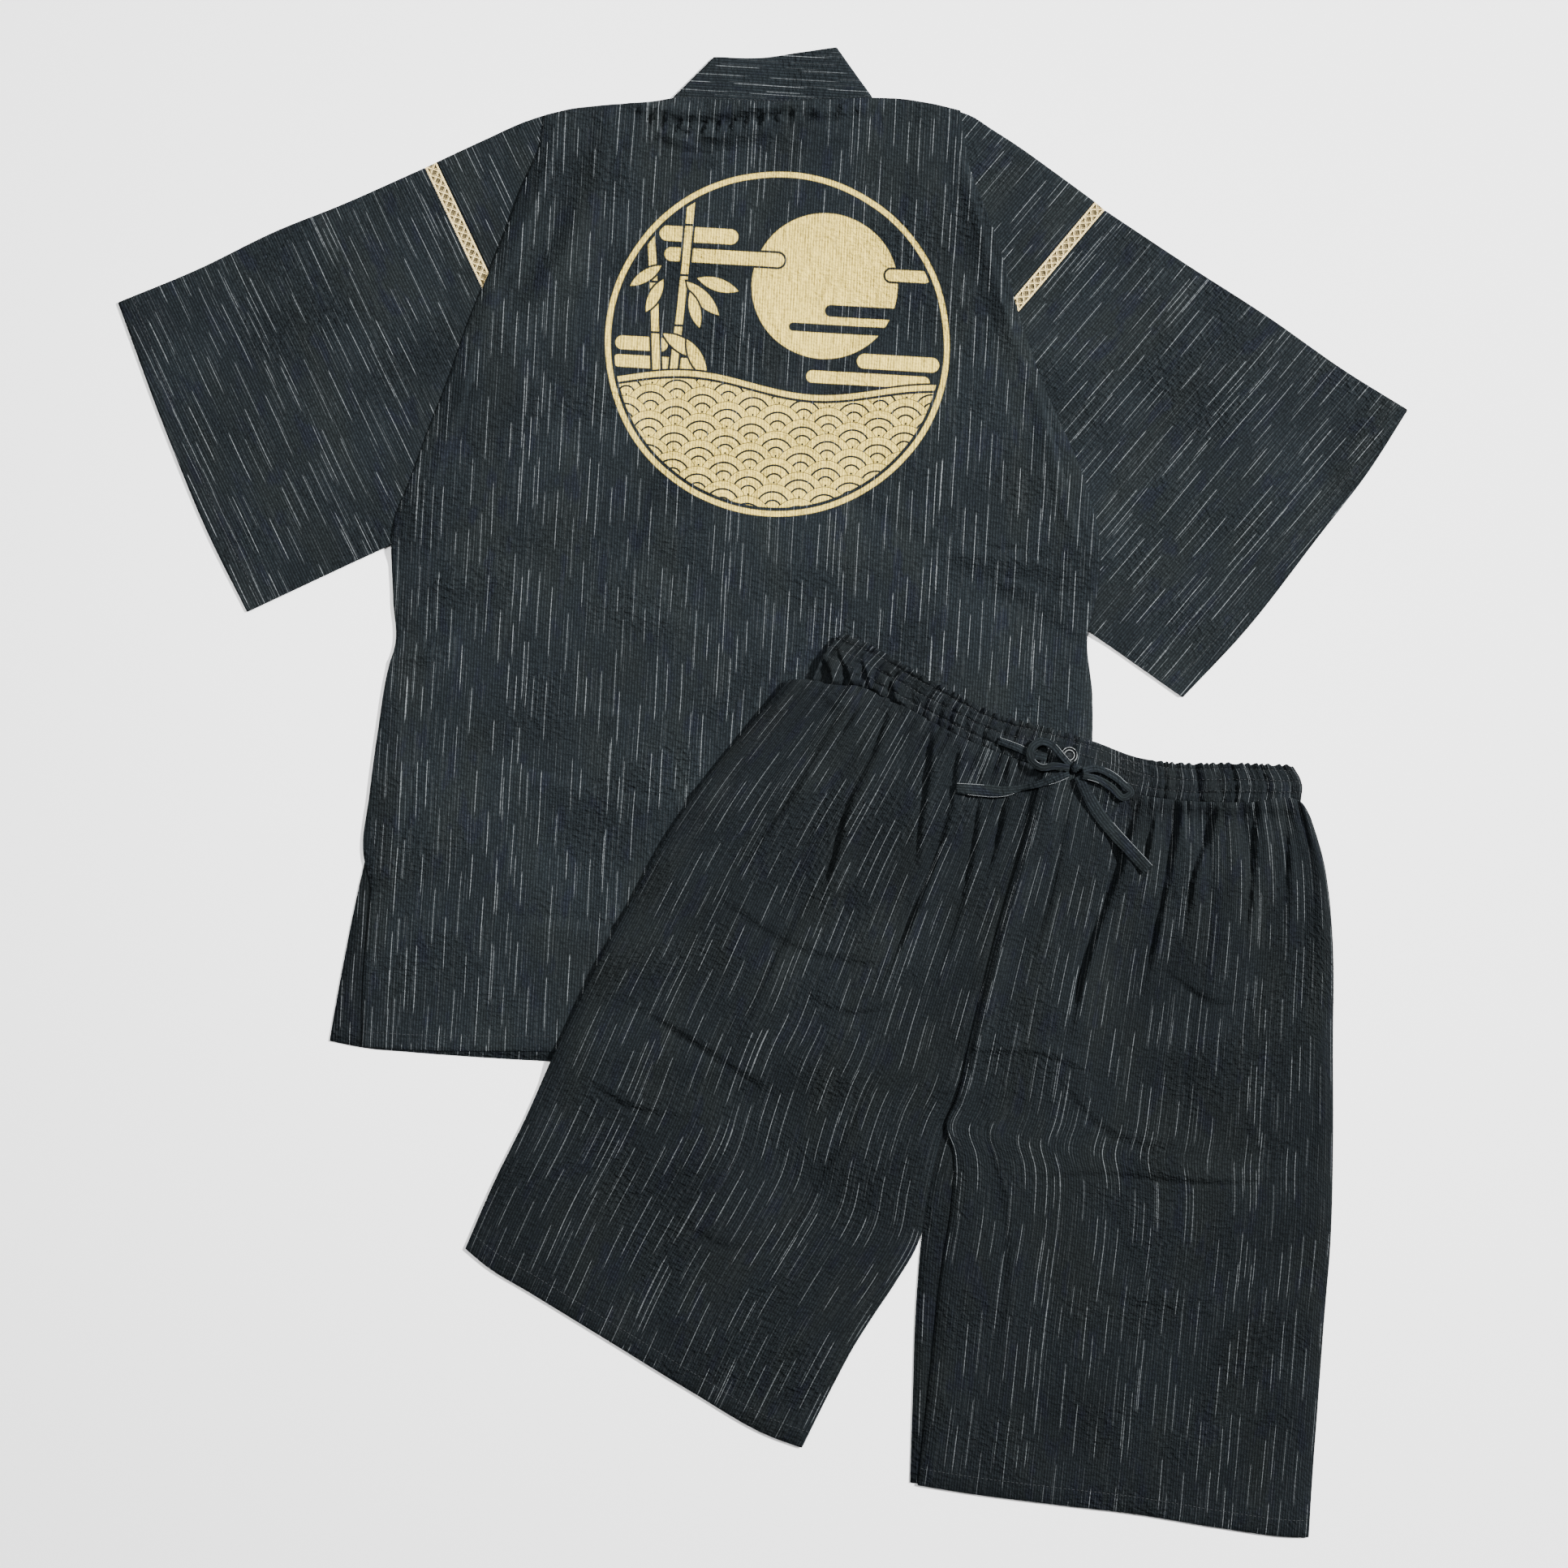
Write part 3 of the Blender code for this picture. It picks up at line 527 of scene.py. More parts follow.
class Shader:
    """A material's node tree, written as expressions on its sockets."""

    def __init__(self, name: str) -> None:
        """Makes a material with a Principled shader alone.

        Args:
            name: the material's name.
        """
        self.material = bpy.data.materials.new(name)
        self.material.use_nodes = True
        self.tree = self.material.node_tree
        self.surface = self.tree.nodes["Principled BSDF"]

    def node(self, kind: str, settings: dict[str, Any], inputs: dict[Any, Any], output: Any = 0) -> Value:
        """Adds a node.

        Args:
            kind: the node's type.
            settings: its own settings, such as a Math node's operation, set before its sockets.
            inputs: a value, colour or Value for each input socket, by number or name.
            output: the output socket that is wanted, by number or name.

        Returns:
            That output, wrapped.
        """
        made = self.tree.nodes.new(kind)
        for key, value in settings.items():
            setattr(made, key, value)
        for key, value in inputs.items():
            self.feed(made.inputs[key], value)
        return Value(self, made.outputs[output])

    def feed(self, socket: Any, value: Any) -> None:
        """Links or sets one input socket.

        Args:
            socket: the socket.
            value: a Value to link, or a number or colour.
        """
        if isinstance(value, Value):
            self.tree.links.new(value.socket, socket)
        elif isinstance(value, tuple) and len(value) == 3 and socket.type == "RGBA":
            socket.default_value = (*value, 1.0)
        else:
            socket.default_value = value

    def cloth_place(self) -> tuple[Value, Value]:
        """The cloth's own coordinates in metres: across the warp and along it.

        Returns:
            The two coordinates.
        """
        place = self.node("ShaderNodeUVMap", {"uv_map": "cloth"}, {})
        split = self.node("ShaderNodeSeparateXYZ", {}, {0: place})
        return split, Value(self, split.socket.node.outputs[1])

    def vector(self, x: Any, y: Any, z: Any = 0.0) -> Value:
        """A vector from three values."""
        return self.node("ShaderNodeCombineXYZ", {}, {0: x, 1: y, 2: z})

    def grain(self, scale: float) -> Value:
        """Noise over the object's own coordinates."""
        return self.noise(self.node("ShaderNodeTexCoord", {}, {}, "Object"), scale)

    def noise(self, place: Value, scale: float = 1.0, detail: float = 2.0, rough: float = 0.5) -> Value:
        """Noise from 0 to 1 at a place."""
        inputs = {"Vector": place, "Scale": scale, "Detail": detail, "Roughness": rough}
        return self.node("ShaderNodeTexNoise", {"noise_dimensions": "3D"}, inputs, "Fac")

    def chance(self, x: Any, y: Any, z: float) -> tuple[Value, Value, Value]:
        """Three even random numbers that change with the place's whole numbers.

        Args:
            x: one whole number.
            y: another.
            z: tells one draw from another.

        Returns:
            The three numbers.
        """
        place = self.vector(x, y, z)
        noise = self.node("ShaderNodeTexWhiteNoise", {"noise_dimensions": "3D"}, {0: place}, "Color")
        first = self.node("ShaderNodeSeparateColor", {}, {0: noise})
        outputs = first.socket.node.outputs
        return first, Value(self, outputs[1]), Value(self, outputs[2])

    def mix(self, factor: Any, low: Any, high: Any, blend: str = "MIX") -> Value:
        """A mix of two colours."""
        settings = {"data_type": "RGBA", "blend_type": blend}
        return self.node("ShaderNodeMix", settings, {0: factor, 6: low, 7: high}, 2)

    def dimmed(self, colour: Any, light: Any) -> Value:
        """A colour times a brightness."""
        return self.mix(1.0, colour, self.vector(light, light, light), "MULTIPLY")

    def bump(self, height: Value, distance: float, strength: float = 1.0) -> Value:
        """A Bump node's normal."""
        return self.node("ShaderNodeBump", {}, {"Strength": strength, "Distance": distance, "Height": height})

    def finish(self, **sockets: Any) -> bpy.types.Material:
        """Feeds the Principled shader, with spaces written as underscores, and returns the material.

        Args:
            sockets: what each socket gets.

        Returns:
            The material.
        """
        for key, value in sockets.items():
            self.feed(self.surface.inputs[key.replace("_", " ")], value)
        return self.material


@dataclass(frozen=True)
class Dashes:
    """White yarn that shows in broken dashes along the warp."""

    pitch: float
    cell: float
    share: float
    seed: float
    width: float = 0.00048
    aside: float = 0.5
    spare: float = 0.34

    def mask(self, shader: Shader, across: Value, along: Value) -> Value:
        """How much white yarn shows at a place.

        Args:
            shader: the tree to write in.
            across: metres across the warp.
            along: metres along the warp.

        Returns:
            A mask from 0 to 1.
        """
        column = across / self.pitch
        number = column.floor()
        drift, sidestep, _ = shader.chance(number, 0.5, self.seed)
        turn = along / self.cell + drift * 7.31
        shown, start, end = shader.chance(number, turn.floor(), self.seed + 3.0)
        y = turn.rest()
        head = (y - start * self.spare).step(0.02, 0.07)
        tail = (y - (0.96 - self.spare) - end * self.spare).step(0.02, -0.10)
        x = abs(column.rest() - 0.5 + (sidestep - 0.5) * self.aside) * self.pitch
        line = x.step(self.width * 0.6, self.width * 0.25)
        present = (self.share - shown).step(0.0, 0.05)
        return head * tail * line * present * (0.55 + 0.45 * (start * 3.0 + end * 5.0).rest())


@dataclass(frozen=True)
class StreakedCloth:
    """Puckered dark cotton with fine ribs along the warp and broken white dashes.

    Sizes are in metres, and each scale counts a noise's cells in a metre, across the warp and along it.
    """

    name: str = "streaked_cloth"
    charcoal: Colour = (0.0065, 0.0085, 0.0099)
    navy: Colour = (0.0058, 0.0072, 0.0108)
    moss: Colour = (0.0073, 0.0092, 0.0098)
    yarn: Colour = (0.145, 0.157, 0.163)
    print_ink: Colour = (0.56, 0.415, 0.092)
    printed: bool = False
    # Painted shade: below 1 it darkens the cloth and its dashes, standing in for shade on lower layers and on
    # the shorts.
    painted_shade: float = 1.0
    cluster_every: float = 0.086
    cluster_wide: float = 0.0150
    dashed: bool = True
    single: Dashes = Dashes(0.0107, 0.078, 0.93, 11.0)
    close: Dashes = Dashes(0.0050, 0.071, 0.66, 29.0, aside=0.15)
    faint: Dashes = Dashes(0.0037, 0.052, 0.62, 47.0, width=0.00040)
    faint_share: float = 0.2
    rib_pitch: float = 0.0023
    sway: float = 0.003
    sway_scale: Pair = (14.0, 9.0)
    fibre_scale: Pair = (900.0, 60.0)
    pucker_scale: Pair = (290.0, 470.0)
    navy_scale: Pair = (75.0, 32.0)
    moss_scale: Pair = (30.0, 9.0)
    shade_patch_scale: Pair = (9.0, 13.0)
    crumpled_scale: Pair = (13.0, 17.0)
    crumple_scale: Pair = (190.0, 330.0)
    relief: float = 0.0030

    def material(self) -> bpy.types.Material:
        """The finish as a material.

        Returns:
            The material.
        """
        shader = Shader(self.name)
        across, along = shader.cloth_place()

        def noise(scale: Pair, layer: float = 0.0, detail: float = 1.0, rough: float = 0.5) -> Value:
            """Noise over the cloth; each layer is another draw of it."""
            place = shader.vector(across * scale[0], along * scale[1], layer)
            return shader.noise(place, detail=detail, rough=rough)

        across = across + (noise(self.sway_scale) - 0.5) * self.sway
        fibre = noise(self.fibre_scale, detail=2.0, rough=0.6)
        pucker = noise(self.pucker_scale).step(0.3, 0.72)
        rib = (across * (2 * math.pi / self.rib_pitch)).sine() * 0.5 + 0.5
        weave = fibre * 0.4 + pucker * rib * 0.8 + rib * 0.18
        navy = noise(self.navy_scale, 3.7, 2.0).step(0.55, 0.7)
        moss = noise(self.moss_scale, 9.1).step(0.42, 0.7)
        # Painted shade: broad noise lightens and darkens the cloth in soft patches, standing in for the light
        # and shade of large undulations.
        broad = noise(self.shade_patch_scale, 1.9)
        colour = shader.mix(navy * 0.7, shader.mix(moss, self.charcoal, self.moss), self.navy)
        # Painted light and shade: crumpled zones are darkened, and there the colour follows the crumple noise
        # that also raises the bumps, lighter on bumps and darker in hollows.
        crumpled = noise(self.crumpled_scale, 6.3).step(0.38, 0.74)
        crumple = noise(self.crumple_scale, 2.2, 2.0, 0.55)
        crumple_light_and_shade = 1.02 - crumpled * 0.10 + (crumple - 0.5) * (crumpled * 0.7 + 0.35)
        light = (weave * 1.05 + 0.48) * (broad * 0.6 + 0.7) * crumple_light_and_shade * self.painted_shade
        colour = shader.dimmed(colour, light)
        if self.dashed:
            place = (across / self.cluster_every + 0.23).rest() * self.cluster_every
            near = (place - self.cluster_wide).step(0.0006, -0.0006)
            single = self.single.mask(shader, across, along)
            close = self.close.mask(shader, across, along) * near
            faint = self.faint.mask(shader, across, along) * self.faint_share
            dash = single.highest(close).highest(faint) * (pucker * 0.7 + 0.5).lowest(1.0)
            colour = shader.mix(dash, colour, tuple(c * self.painted_shade for c in self.yarn))
        if self.printed:
            ink = RoundPrint().mask(across, along)
            wear_and_highlight = ink * (fibre * 1.3 + pucker * 0.4 + rib * 0.25 - 0.06).lowest(1.0)
            tone = fibre * 1.0 + rib * 0.30 + 0.30
            colour = shader.mix(wear_and_highlight, colour, shader.dimmed(self.print_ink, tone))
        height = weave * 0.11 + crumple * (crumpled * 0.7 + 0.34)
        normal = shader.bump(height, self.relief)
        return shader.finish(Base_Color=colour, Roughness=0.9, Normal=normal, Specular_IOR_Level=0.05)


@dataclass(frozen=True)
class RoundPrint:
    """A round print of moon, mist bars, bamboo and wave scales, in ink that lets the cloth's dark through.

    Sizes are in metres from the print's centre, across the warp and along it.
    """

    centre: Pair = (0.016, 0.200)
    radius: float = 0.143
    edge: float = 0.0005
    sea_level: float = 0.040
    scale_pitch: float = 0.042
    scale_rise: float = 0.26
    rings: float = 3.0
    moon: tuple[Pair, float] = ((0.036, -0.050), 0.060)
    swell_turn: float = 30.0
    swell_rise: float = 0.007
    crest: float = 0.0045
    line: float = 0.0022
    sea_halo: float = 0.0085
    mist_halo: float = 0.0020
    leaf_halo: float = 0.0018
    cane_half: float = 0.0030
    cane_halo: float = 0.0022
    joint_pitch: float = 24.0
    rim: float = 0.0030
    rim_gap: float = 0.0082
    mist: tuple[tuple[Pair, float, float], ...] = (
        ((-0.070, -0.086), 0.026, 0.0062), ((-0.048, -0.069), 0.044, 0.0056), ((0.100, 0.010), 0.028, 0.0060),
        ((0.076, 0.025), 0.046, 0.0050), ((-0.112, 0.006), 0.016, 0.0056), ((-0.098, 0.021), 0.032, 0.0050),
        ((0.104, -0.062), 0.014, 0.0048),
    )
    clear: tuple[tuple[Pair, float, float], ...] = (
        ((0.086, -0.030), 0.044, 0.0050), ((0.062, -0.015), 0.050, 0.0036),
    )
    canes: tuple[Pair, ...] = ((-0.101, 0.10), (-0.083, -0.05))
    leaves: tuple[tuple[Pair, float, float], ...] = (
        ((-0.078, 0.006), 0.5, 0.028), ((-0.066, 0.016), 1.05, 0.026), ((-0.112, -0.050), 2.5, 0.022),
        ((-0.104, -0.034), 2.0, 0.022), ((-0.064, -0.034), 0.75, 0.028), ((-0.052, -0.046), 0.25, 0.026),
        ((-0.070, -0.024), 1.25, 0.022),
    )

    def _inside(self, distance: Value) -> Value:
        """1 where a signed distance is below 0."""
        return distance.step(self.edge, -self.edge)

    def _disc(self, x: Value, y: Value, at: Pair, radius: float) -> Value:
        """A disc's signed distance."""
        dx, dy = x - at[0], y - at[1]
        return (dx * dx + dy * dy).root() - radius

    def _bar(self, x: Value, y: Value, at: Pair, half: float, radius: float) -> Value:
        """A level bar with round ends: its signed distance.

        Args:
            x: metres across from the print's middle.
            y: metres along from it.
            at: its middle.
            half: half its straight length.
            radius: its ends' radius.

        Returns:
            The distance.
        """
        dx = (abs(x - at[0]) - half).highest(0.0)
        dy = y - at[1]
        return (dx * dx + dy * dy).root() - radius

    def _leaf(self, x: Value, y: Value, at: Pair, tilt: float, size: float) -> Value:
        """A slim pointed leaf, where two discs overlap: its signed distance.

        Args:
            x: metres across from the print's middle.
            y: metres along from it.
            at: its middle.
            tilt: its turn in radians.
            size: its size.

        Returns:
            The distance.
        """
        c, s = math.cos(tilt), math.sin(tilt)
        u = (x - at[0]) * c + (y - at[1]) * s
        v = (y - at[1]) * c - (x - at[0]) * s
        reach = size * 1.25
        near = self._disc(u, v, (0.0, reach - size * 0.2), reach)
        return near.highest(self._disc(u, v, (0.0, size * 0.2 - reach), reach))

    def _scales(self, x: Value, y: Value) -> Value:
        """Rows of wave scales: arcs inside arcs, each row over the one above it and half a scale aside.

        Args:
            x: metres across from the print's middle.
            y: metres along from it.

        Returns:
            Their ink, from 0 to 1.
        """
        radius = self.scale_pitch / 2
        rise = self.scale_pitch * self.scale_rise
        found = None
        for layer in (4, 3, 2, 1):
            row = (y / rise).floor() + (1.0 - layer)
            aside = (row * 0.5).rest() * self.scale_pitch
            dx = ((x + aside) / self.scale_pitch + 0.5).rest() * self.scale_pitch - radius
            dy = y - row * rise - radius
            away = (dx * dx + dy * dy).root() / radius
            band = (away * self.rings).rest()
            drawn = band.step(0.10, 0.15) * band.step(0.93, 0.88)
            inside = away.step(1.0, 0.985)
            found = drawn * inside if found is None else found * (1.0 - inside) + drawn * inside
        return found

    def _bamboo(self, x: Value, y: Value, ink: Value) -> Value:
        """Two jointed canes with leaves, each in a thin dark outline, over the ink so far.

        Args:
            x: metres across from the print's middle.
            y: metres along from it.
            ink: the ink so far.

        Returns:
            The ink with the bamboo.
        """
        for stem, lean in self.canes:
            cane = abs(x - stem - y * lean) - self.cane_half
            joint = (abs((y * self.joint_pitch + stem * 9.0).rest() - 0.5) - 0.47).step(0.0, 0.012)
            ink = ink * (1.0 - self._inside(cane - self.cane_halo))
            ink = ink.highest(self._inside(cane) * (1.0 - joint))
        for at, tilt, size in self.leaves:
            leaf = self._leaf(x, y, at, tilt, size)
            ink = ink * (1.0 - self._inside(leaf - self.leaf_halo))
            ink = ink.highest(self._inside(leaf))
        return ink

    def mask(self, across: Value, along: Value) -> Value:
        """Where the ink lies, from 0 to 1.

        Args:
            across: metres across the warp.
            along: metres along the warp.

        Returns:
            A mask from 0 to 1.
        """
        x, y = across - self.centre[0], along - self.centre[1]
        disc = self._disc(x, y, (0.0, 0.0), self.radius)
        swell = self.sea_level + (x * self.swell_turn + 0.6).sine() * self.swell_rise
        ink = self._inside(self._disc(x, y, *self.moon))
        for at, half, radius in self.clear:
            ink = ink * (1.0 - self._inside(self._bar(x, y, at, half, radius)))
        for at, half, radius in self.mist:
            bar = self._bar(x, y, at, half, radius)
            ink = ink * (1.0 - self._inside(bar - self.mist_halo))
            ink = ink.highest(self._inside(bar))
        ink = self._bamboo(x, y, ink) * (1.0 - self._inside(swell - y - self.sea_halo))
        ink = ink.highest(self._inside(abs(y - swell + self.crest) - self.line))
        ink = ink.highest(self._scales(x + 0.5, y + 0.3) * self._inside(swell - y))
        ring = self._inside(abs(disc + self.rim) - self.line)
        return (ink * self._inside(disc + self.rim_gap)).highest(ring)


@dataclass(frozen=True)
class BraidYarn:
    """Cream cotton braid."""

    name: str = "braid_yarn"
    cream: Colour = (0.66, 0.515, 0.235)
    hollow: Colour = (0.34, 0.24, 0.10)
    # Painted shade: below 1 it darkens the whole finish.
    painted_shade_dim: float = 1.0
    relief: float = 0.00025

    def material(self) -> bpy.types.Material:
        """The finish as a material.

        Returns:
            The material.
        """
        shader = Shader(self.name)
        across, along = shader.cloth_place()
        twist = ((across * 900.0 + along * 1500.0) * 2.0).sine() * 0.5 + 0.5
        fibre = shader.noise(shader.vector(across * 900.0, along * 900.0), detail=2.0)
        colour = shader.mix(fibre.step(0.3, 0.7), self.hollow, self.cream)
        colour = shader.mix(0.55 * twist + 0.2, colour, self.cream)
        normal = shader.bump(twist + fibre * 0.6, self.relief)
        return shader.finish(
            Base_Color=shader.dimmed(colour, self.painted_shade_dim), Roughness=0.82, Normal=normal, Specular_IOR_Level=0.2,
        )


@dataclass(frozen=True)
class Thread:
    """Spun sewing thread."""

    name: str
    colour: Colour

    def material(self) -> bpy.types.Material:
        """The finish as a material.

        Returns:
            The material.
        """
        shader = Shader(self.name)
        fibre = shader.grain(2600.0)
        colour = shader.mix(fibre, tuple(c * 0.7 for c in self.colour), tuple(c * 1.3 for c in self.colour))
        return shader.finish(Base_Color=colour, Roughness=0.7, Normal=shader.bump(fibre, 0.00012))


@dataclass(frozen=True)
class ButtonResin:
    """Dark button resin with a soft polish, with a painted highlight on its turned ridges."""

    name: str = "button_resin"
    colour: Colour = (0.0034, 0.0042, 0.0050)
    painted_highlight: Colour = (0.19, 0.20, 0.20)
    ridges: Pair = (0.91, 0.59)

    def material(self) -> bpy.types.Material:
        """The finish as a material; the cloth coordinate across is the share of the button's reach.

        Returns:
            The material.
        """
        shader = Shader(self.name)
        cloud = shader.grain(420.0)
        reach, _ = shader.cloth_place()
        off = abs(reach - self.ridges[0]).lowest(abs(reach - self.ridges[1]))
        # Painted highlight: the turned ridges are painted paler, unevenly by noise, where they would catch
        # the light.
        wear_and_highlight = (1 - off.step(0.02, 0.05)) * cloud.step(0.30, 0.55)
        colour = shader.mix(wear_and_highlight, self.colour, self.painted_highlight)
        return shader.finish(Base_Color=colour, Roughness=0.36 + 0.2 * cloud, Specular_IOR_Level=0.08)


@dataclass(frozen=True)
class PaleFloor:
    """A plain pale floor."""

    name: str = "pale_floor"
    colour: Colour = (0.90, 0.90, 0.90)

    def material(self) -> bpy.types.Material:
        """The finish as a material.

        Returns:
            The material.
        """
        shader = Shader(self.name)
        colour = shader.mix(shader.grain(30.0), self.colour, tuple(c * 1.01 for c in self.colour))
        return shader.finish(Base_Color=colour, Roughness=0.9)


# ---- meshes


def mesh_object(
    name: str, points: Grid, faces: Sequence[Sequence[int]], cloth: Optional[Grid],
    material: bpy.types.Material, sharp: float = 60.0,
) -> bpy.types.Object:
    """A smooth mesh object.

    Args:
        name: its name.
        points: points in millimetres.
        faces: point numbers of each face.
        cloth: the cloth coordinates of each point, in metres, if it has any.
        material: its finish.
        sharp: the angle over which an edge is kept sharp.

    Returns:
        The new object.
    """
    mesh = bpy.data.meshes.new(name)
    spots = (np.asarray(points, float) * METRE).tolist()
    mesh.from_pydata(spots, [], [tuple(int(k) for k in face) for face in faces])
    if cloth is not None:
        layer = mesh.uv_layers.new(name="cloth")
        corner = np.empty(len(mesh.loops), np.int32)
        mesh.loops.foreach_get("vertex_index", corner)
        layer.data.foreach_set("uv", np.asarray(cloth, np.float32)[corner].ravel())
    mesh.shade_smooth()
    mesh.set_sharp_from_angle(angle=math.radians(sharp))
    mesh.materials.append(material)
    mesh.update()
    piece = bpy.data.objects.new(name, mesh)
    bpy.context.scene.collection.objects.link(piece)
    return piece


def quads(first: Grid, second: Grid, closed: bool = False) -> Grid:
    """Faces between two rows of point numbers.

    Args:
        first: one row.
        second: the next row.
        closed: whether the rows are rings.

    Returns:
        Four numbers for each face.
    """
    if closed:
        first, second = np.append(first, first[0]), np.append(second, second[0])
    return np.stack([first[:-1], second[:-1], second[1:], first[1:]], axis=1)


@dataclass
class Sheet:
    """A sheet of cloth laid out: where its points lie, their two faces, and their cloth coordinates."""

    name: str
    floor: Grid
    under: Grid
    top: Grid
    cloth: Grid
    nose: float = 0.45

    def make(self, material: bpy.types.Material) -> bpy.types.Object:
        """The sheet as a closed shell with a rounded rim.

        Args:
            material: its finish.

        Returns:
            The new piece.
        """
        rows, columns = self.top.shape
        count = rows * columns
        number = np.arange(count).reshape(rows, columns)
        ring = np.concatenate([number[0, :-1], number[:-1, -1], number[-1, :0:-1], number[:0:-1, 0]])
        flat = self.floor.reshape(-1, 2)
        middle = (self.top + self.under).reshape(-1)[ring] / 2
        run = flat[np.roll(ring, -1)] - flat[np.roll(ring, 1)]
        out = unit(np.stack([run[:, 1], -run[:, 0]], 1))
        across, down = self.floor[0, 1] - self.floor[0, 0], self.floor[1, 0] - self.floor[0, 0]
        turned = across[0] * down[1] - across[1] * down[0] > 0
        out = out * (1.0 if turned else -1.0)
        rim = flat[ring] + out * self.nose * (self.top - self.under).mean()
        points = np.concatenate([
            np.column_stack([flat, self.top.ravel()]), np.column_stack([flat, self.under.ravel()]),
            np.column_stack([rim, middle]),
        ])
        upper = np.concatenate([quads(number[r], number[r + 1]) for r in range(rows - 1)])
        mid = 2 * count + np.arange(len(ring))
        side = np.concatenate([quads(ring, mid, True), quads(mid, ring + count, True)])
        faces = np.concatenate([upper, upper[:, ::-1] + count, side[:, ::-1]])
        if turned:
            faces = faces[:, ::-1]
        uv = self.cloth.reshape(-1, 2)
        return mesh_object(self.name + "_cloth", points, faces, np.concatenate([uv, uv, uv[ring]]), material)

    def spot(self, across: Grid, down: Grid) -> Grid:
        """Points on the upper face at fractions across and down it.

        Args:
            across: fractions across.
            down: fractions down.

        Returns:
            A point for each pair.
        """
        rows, columns = self.top.shape
        c = np.clip(np.asarray(across) * (columns - 1), 0, columns - 1.001)
        r = np.clip(np.asarray(down) * (rows - 1), 0, rows - 1.001)
        i, j = r.astype(int), c.astype(int)
        a, b = (r - i)[:, None], (c - j)[:, None]
        grid = np.dstack([self.floor, self.top])
        near = grid[i, j] * (1 - a) * (1 - b) + grid[i, j + 1] * (1 - a) * b
        return near + grid[i + 1, j] * a * (1 - b) + grid[i + 1, j + 1] * a * b

    def parallel(self, edge: Edge, inset: float, start: float = 0.0, end: float = 1.0) -> Grid:
        """A line on the upper face that keeps its distance from one edge.

        Args:
            edge: the edge.
            inset: the distance in millimetres.
            start: where it starts, as a fraction of the edge.
            end: where it ends.

        Returns:
            Points, about 3 mm apart.
        """
        down, across = reach_grid(self.floor, 0), reach_grid(self.floor, 1)
        level = edge in (Edge.TOP, Edge.BOTTOM)
        total = (across if level else down).max()
        at = np.linspace(start, end, max(4, int(total * abs(end - start) / 3.0)))
        far = down[-1] if level else across[:, -1]
        share = inset / np.interp(at, np.linspace(0, 1, len(far)), far)
        share = share if edge in (Edge.TOP, Edge.LEFT) else 1 - share
        return self.spot(at, share) if level else self.spot(share, at)


def lay(
    name: str, garment: Garment, plan: Grid, cloth: Grid, ground: Ground, lift: Any = 0.0, wall: float = WALL,
) -> Sheet:
    """Lays a sheet on what is already there and notes it on the ground.

    Args:
        name: the piece's name.
        garment: the garment whose plan it is.
        plan: its points.
        cloth: its cloth coordinates.
        ground: what is laid.
        lift: how far it stands off what it lies on.
        wall: its thickness.

    Returns:
        The sheet.
    """
    floor = garment.place(plan)
    under = ground.rest(floor) + np.maximum(lift, 0.0)
    ground.note(floor, under + wall)
    return Sheet(name, floor, under, under + wall, cloth)


def put(
    piece: bpy.types.Object, replaced: Sequence[str] = (), flat: Optional[Pair] = None,
) -> bpy.types.Object:
    """Rides a piece on the set and reports it.

    Args:
        piece: the piece.
        replaced: the solids that it stands for.
        flat: a sheet's flat size in metres; not used.

    Returns:
        The piece.
    """
    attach(piece, "root")
    if replaced:
        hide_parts(*replaced)
    LOG.info("%s: %d faces", piece.name, len(piece.data.polygons))
    return piece


@dataclass
class Stitching:
    """Rows of short stitches that follow lines on the cloth."""

    name: str
    thread: Thread
    pitch: float = 3.6
    reach: float = 2.5
    thick: float = 0.42
    lines: list[Grid] = field(default_factory=list)

    def follow(self, line: Grid) -> None:
        """Adds a line of points in millimetres."""
        self.lines.append(line)

    def build(self) -> bpy.types.Object:
        """All the stitches as one object.

        Returns:
            The new piece.
        """
        points: list[Grid] = []
        faces: list[Grid] = []
        shape = np.array([[-1, 0, 0], *[[k, 0.85 * c, 0.85 * s] for k in (-0.6, 0.6) for c, s in
                                        ((1, 0), (0, 1), (-1, 0), (0, -1))], [1, 0, 0]], float)
        sides = [(0, 2, 1), (0, 3, 2), (0, 4, 3), (0, 1, 4), (9, 5, 6), (9, 6, 7), (9, 7, 8), (9, 8, 5)]
        walls = [(1, 2, 6, 5), (2, 3, 7, 6), (3, 4, 8, 7), (4, 1, 5, 8)]
        plain = [tuple(f) for f in sides + walls]
        total = 0
        for line in self.lines:
            chord = np.concatenate([[0.0], np.cumsum(np.linalg.norm(np.diff(line, axis=0), axis=1))])
            centres = np.arange(self.pitch / 2, chord[-1], self.pitch)
            where = np.stack([np.interp(centres, chord, line[:, k]) for k in range(3)], 1)
            next_to = np.stack([np.interp(centres + 0.5, chord, line[:, k]) for k in range(3)], 1)
            run = unit(next_to - where)
            side = unit(np.cross(run, [0.0, 0.0, 1.0]))
            up = np.cross(side, run)
            for spot, a, b, c in zip(where, run, side, up):
                made = spot + shape[:, :1] * a * self.reach / 2 + shape[:, 1:2] * b * self.thick / 2
                points.append(made + shape[:, 2:] * c * self.thick / 2 + c * 0.05)
                faces.extend(tuple(k + total for k in f) for f in plain)
                total += len(shape)
        return mesh_object(self.name, np.concatenate(points), faces, None, self.thread.material(), 90.0)


# ---- jacket

